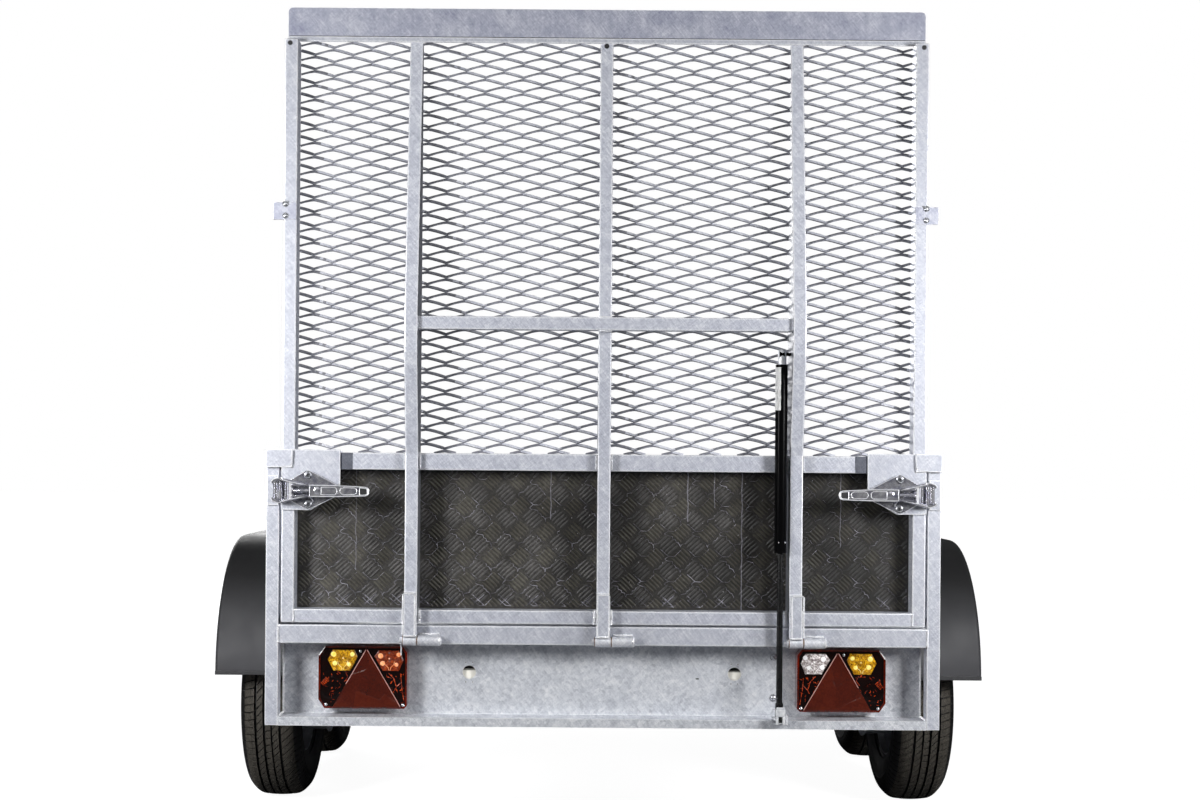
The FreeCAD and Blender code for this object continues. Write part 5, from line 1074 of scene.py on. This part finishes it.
def makeHoles():
    # each hole is a dark disc or patch of painted shade; the small port holes get pale rings of painted
    # highlight
    holes, rims, webs, shades, vents = (bmesh.new() for _ in range(5))
    y = fixing["panelFace"] + 0.05
    for x, z in fixing["port"]:
        for dx, dz in fixing["portHoles"]:
            addTurned(holes, ((0, 1.5), (0.5, 1.4)), (x + dx, y, z + dz), sides=14)
            addTurned(rims, ((0, 2.8), (0.3, 2.5)), (x + dx, y, z + dz), sides=14)
        # the primed angle behind each cable port, and above it a dark sheet of painted shade
        addBox(webs, (x - 24, -2052, z - 24), (x + 24, -2050, z + 3.5))
        addBox(webs, (x - 24, -2050, z + 5.2), (x + 24, -2049, z + 6.2))
        addBox(shades, (x - 24, -2046, z - 4), (x + 24, -2044, z + 24))
    addBox(holes, (220, -2060.5, 448), (227, -2059.5, 450.6))
    for x, z, face in fixing["vents"]:
        addTurned(vents, ((0, 5.7), (0.25, 5.5)), (x, face + 0.05, z))
    makePiece("plateHoles", holes, darkGap)
    makePiece("plateHoleRims", rims, chromeAndEdgeHighlight)
    makePiece("portWebs", webs, primedSteel, edge=0.3)
    makePiece("portShades", shades, darkGap, edge=0.3)
    makePiece("ventHoles", vents, darkGap, "ramp")


def makeBolts():
    domes, screws = bmesh.new(), bmesh.new()
    for x, z in fixing["domes"]:
        addTurned(domes, ((0, 8.5), (1.2, 8.5)), (x, -2060, z), sides=24)
        addDome(domes, (x, -2061.2, z), 7.0, 4.2)
    for side in (-1, 1):
        for x, z in fixing["tabScrews"]:
            addTurned(screws, ((0, 7.0), (1.0, 7.0)), (side * x, -2134, z), sides=24)
            addDome(screws, (side * x, -2135, z), 5.2, 3.0)
    makePiece("plateBolts", domes, screwSteel, slotName="bright_zinc")
    makePiece("tabScrews", screws, screwSteel, "ramp", "bright_zinc")


def makeStrutFoot():
    x, y, z = strut["eye"]
    bm = bmesh.new()
    for left, right, low, high, front in strut["clevis"]:
        addBox(bm, (x + left, y - front, z + low), (x + right, y + 10, z + high))
    makePiece("strutClevis", bm, clevisZinc, "strut_rod", "bright_zinc", edge=1.2)
    bm = bmesh.new()
    for off, profile in strut["bolt"]:
        addTurned(bm, profile, (x + off, y - 3, z + 1), (1, 0, 0), 6)
    addWire(bm, [(x + dx, y - 11.5, z + dz) for dx, dz in strut["clip"]], 0.9)
    makePiece("strutFootBolt", bm, boltSteel, "strut_rod", "bright_zinc", edge=0.5)


def makeStrutTop():
    lo, hi = boxOf("strut_cylinder")
    middle = (lo.y + hi.y) / 2
    axis = lo.x + (hi.y - lo.y) / 2
    bm = bmesh.new()
    addTurned(bm, strut["cap"], (axis + 1, middle, hi.z), (0, 0, 1), 28)
    makePiece("strutTopEye", bm, clevisZinc, "strut_cylinder", "bright_zinc", edge=0.4)
    bm = bmesh.new()  # a blank white label wrapped round the cylinder's left side
    high, low, radius, turns = strut["label"]
    arc = [(axis + radius * math.sin(math.radians(turn)), middle - radius * math.cos(math.radians(turn)))
           for turn in turns]
    upper, lower = [[bm.verts.new((x, y, hi.z - down)) for x, y in arc] for down in (high, low)]
    for a, b, c, d in zip(upper, upper[1:], lower, lower[1:]):
        bm.faces.new((a, b, d, c))
    bmesh.ops.solidify(bm, geom=bm.faces[:], thickness=0.2)
    makePiece("strutLabel", bm, labelFilm, "strut_cylinder", "black_enamel", smooth=30)
    bm = bmesh.new()
    off, out, up = strut["rivets"]
    for side in (-1, 1):
        addDome(bm, (strut["eye"][0] + side * off, middle - out, lo.z + up), 1.9, 1.8, sides=12)
    makePiece("strutRivets", bm, chromeAndEdgeHighlight, "strut_cylinder", "bright_zinc")


def makePinClip():
    x, y, z = fixing["pin"]
    bm = bmesh.new()
    addWire(bm, [(x + dx, y, z + dz) for dx, dz in ((0, 4), (-0.5, -8), (0.3, -20), (0, -37))], 1.5, 8)
    addDome(bm, (x, y + 2, z), 4.5, 5.0)
    makePiece("hingePinClip", bm, chromeAndEdgeHighlight, slotName="bright_zinc")


weld = {
    # beads up both sides of each beam: off its middle, y, and (z from, z to, radius)
    "beam": (17.5, -2132, ((580, 614, 6.4), (936, 970, 3.0))),
    # beads along the cross bar: y, radius, and (x from, x to, z)
    "bar": (-2176, 2.2, ((-425, -455, 1283), (425, 455, 1283), (-455, -425, 1253), (425, 455, 1253),
                         (-15, 15, 1284), (-15, 15, 1252))),
    # upright or lengthways beads on both sides of the trailer: start, end, radius, seed on the left
    "stile": (((711, -2131, 583), (711, -2131, 610), 2.4, 20), ((711, -2131, 980), (711, -2131, 940), 2.2, 60)),
    "post": (((746, -2131, 535), (746, -2131, 574), 3.0, 22), ((744, -2062, 368), (744, -2062, 530), 2.5, 31),
             ((744, -2126, 366), (744, -2066, 366), 2.5, 41)),
}


def addSideWelds(bm, rows):
    for i, side in enumerate((-1, 1)):
        for start, end, radius, seed in rows:
            addWeld(bm, (side * start[0], *start[1:]), (side * end[0], *end[1:]), radius, seed + i)


def makeWelds():
    bm = bmesh.new()
    off, y, spans = weld["beam"]
    lines = [((x + side * off, y, z0), (x + side * off, y, z1), radius)
             for x in fixing["beams"] for side in (-1, 1) for z0, z1, radius in spans]
    y, radius, spans = weld["bar"]
    lines += [((x0, y, z), (x1, y, z), radius) for x0, x1, z in spans]
    for seed, line in enumerate(lines, 2):
        addWeld(bm, *line, seed)
    addSideWelds(bm, weld["stile"])
    makePiece("rampWelds", bm, weldSteel, "ramp", smooth=60)
    bm = bmesh.new()
    addSideWelds(bm, weld["post"])
    makePiece("frameWelds", bm, weldSteel, smooth=60)


def makeHingeDetails():
    y, z = hinge["line"]
    for name, body, spans in hinge["sleeves"]:
        bm = bmesh.new()
        for x0, x1 in spans:
            long = x1 - x0
            addTurned(bm, ((0, 10.5), (0.8, 12.0), (long - 1.5, 12.0), (long, 10.0)), (x0, y, z), (1, 0, 0), 28)
        makePiece(name, bm, hingeZinc, body, smooth=30)
    bm = bmesh.new()
    for thick, places in hinge["seams"]:
        for x in places:
            addTurned(bm, ((0, 11.2), (thick, 11.2)), (x, y, z), (1, 0, 0), 24)
    makePiece("hingeSeams", bm, rust)
    bm = bmesh.new()
    for seed, (x0, x1) in enumerate(hinge["welds"], hinge["seed"]):
        addWeld(bm, (x0, *hinge["weldAt"]), (x1, *hinge["weldAt"]), 3.4, seed)
        addTurned(bm, ((0, 12), (2.5, 11), (5, 7.5), (6.5, 1.0)), (x1, y, z), (1, 0, 0))
    makePiece("hingeWelds", bm, weldSteel, smooth=60)
    bm = bmesh.new()
    for x in fixing["beams"]:
        for x0, x1, y, z0, z1, radius, seed in hinge["strap"]:
            addWeld(bm, (x + x0, y, z0), (x + x1, y, z1), radius, x + seed)
    makePiece("strapWelds", bm, weldSteel, "ramp", smooth=60)


def makeLipFold():
    lo, hi = boxOf("ramp_toe_lip")
    # lipFoldLine is a dark strip of painted shade along the fold
    for name, finish, inset, out, low, high in (("lipFoldLine", darkGap, 2, 0.35, 1933.5, 1935.0),
                                                ("lipFold", galvanisedPost, 1, 0.3, 1922.5, 1933.5)):
        bm = bmesh.new()
        addBox(bm, (lo.x + inset, lo.y - out, low), (hi.x - inset, lo.y + 0.5, high))
        makePiece(name, bm, finish, "ramp")


def makePair(name, finish, x, y, z, **more):
    # the same box on both sides: x, y and z are (from, to) on the right
    bm = bmesh.new()
    for side in (-1, 1):
        left, right = sorted((side * x[0], side * x[1]))
        addBox(bm, (left, y[0], z[0]), (right, y[1], z[1]))
    makePiece(name, bm, finish, **more)


def makeRailEnds():
    # the seam of each corner plate and its rusty stop
    seams, stops = bmesh.new(), bmesh.new()
    for side in (-1, 1):
        line = ((715, 977), (714, 966), (716, 956), (714.5, 948), (718, 942), (726, 940), (742, 939))
        addWire(seams, [(side * x, -2140.2, z) for x, z in line], 1.0)
        addDome(stops, (side * 754, -2118, 970.5), 8.0, 5.0, (0, 0, 1), 16)
    makePiece("cornerPlateSeams", seams, weldSteel, "ramp", smooth=60)
    makePiece("postStops", stops, rust)


makeHoles()
makeBolts()
makeStrutFoot()
makeStrutTop()
makePinClip()
makeWelds()
# the folded edge of each post beside the ramp
makePair("postEdges", galvanisedPost, (741.2, 745.5), (-2120, -2095), (600, 930))
makeHingeDetails()
makeLipFold()
# painted shadow: dark zinc sheets on the ends of the ramp's upper rail, beside the corner plates
makePair("railEndShadows", railEndShadowZinc, (577, 605), (-2130.6, -2129.6), (933.5, 971.5), body="ramp")
makeRailEnds()
# each mudguard's turned edge
guardLo, guardHi = boxOf("mudguards")
makePair("guardLips", blackPlastic, (777, guardHi.x - 2), (guardLo.y - 3.5, guardLo.y + 1),
         (guardLo.z, guardLo.z + 11), slotName="black_plastic", edge=1.2)
print("the fixings are made")
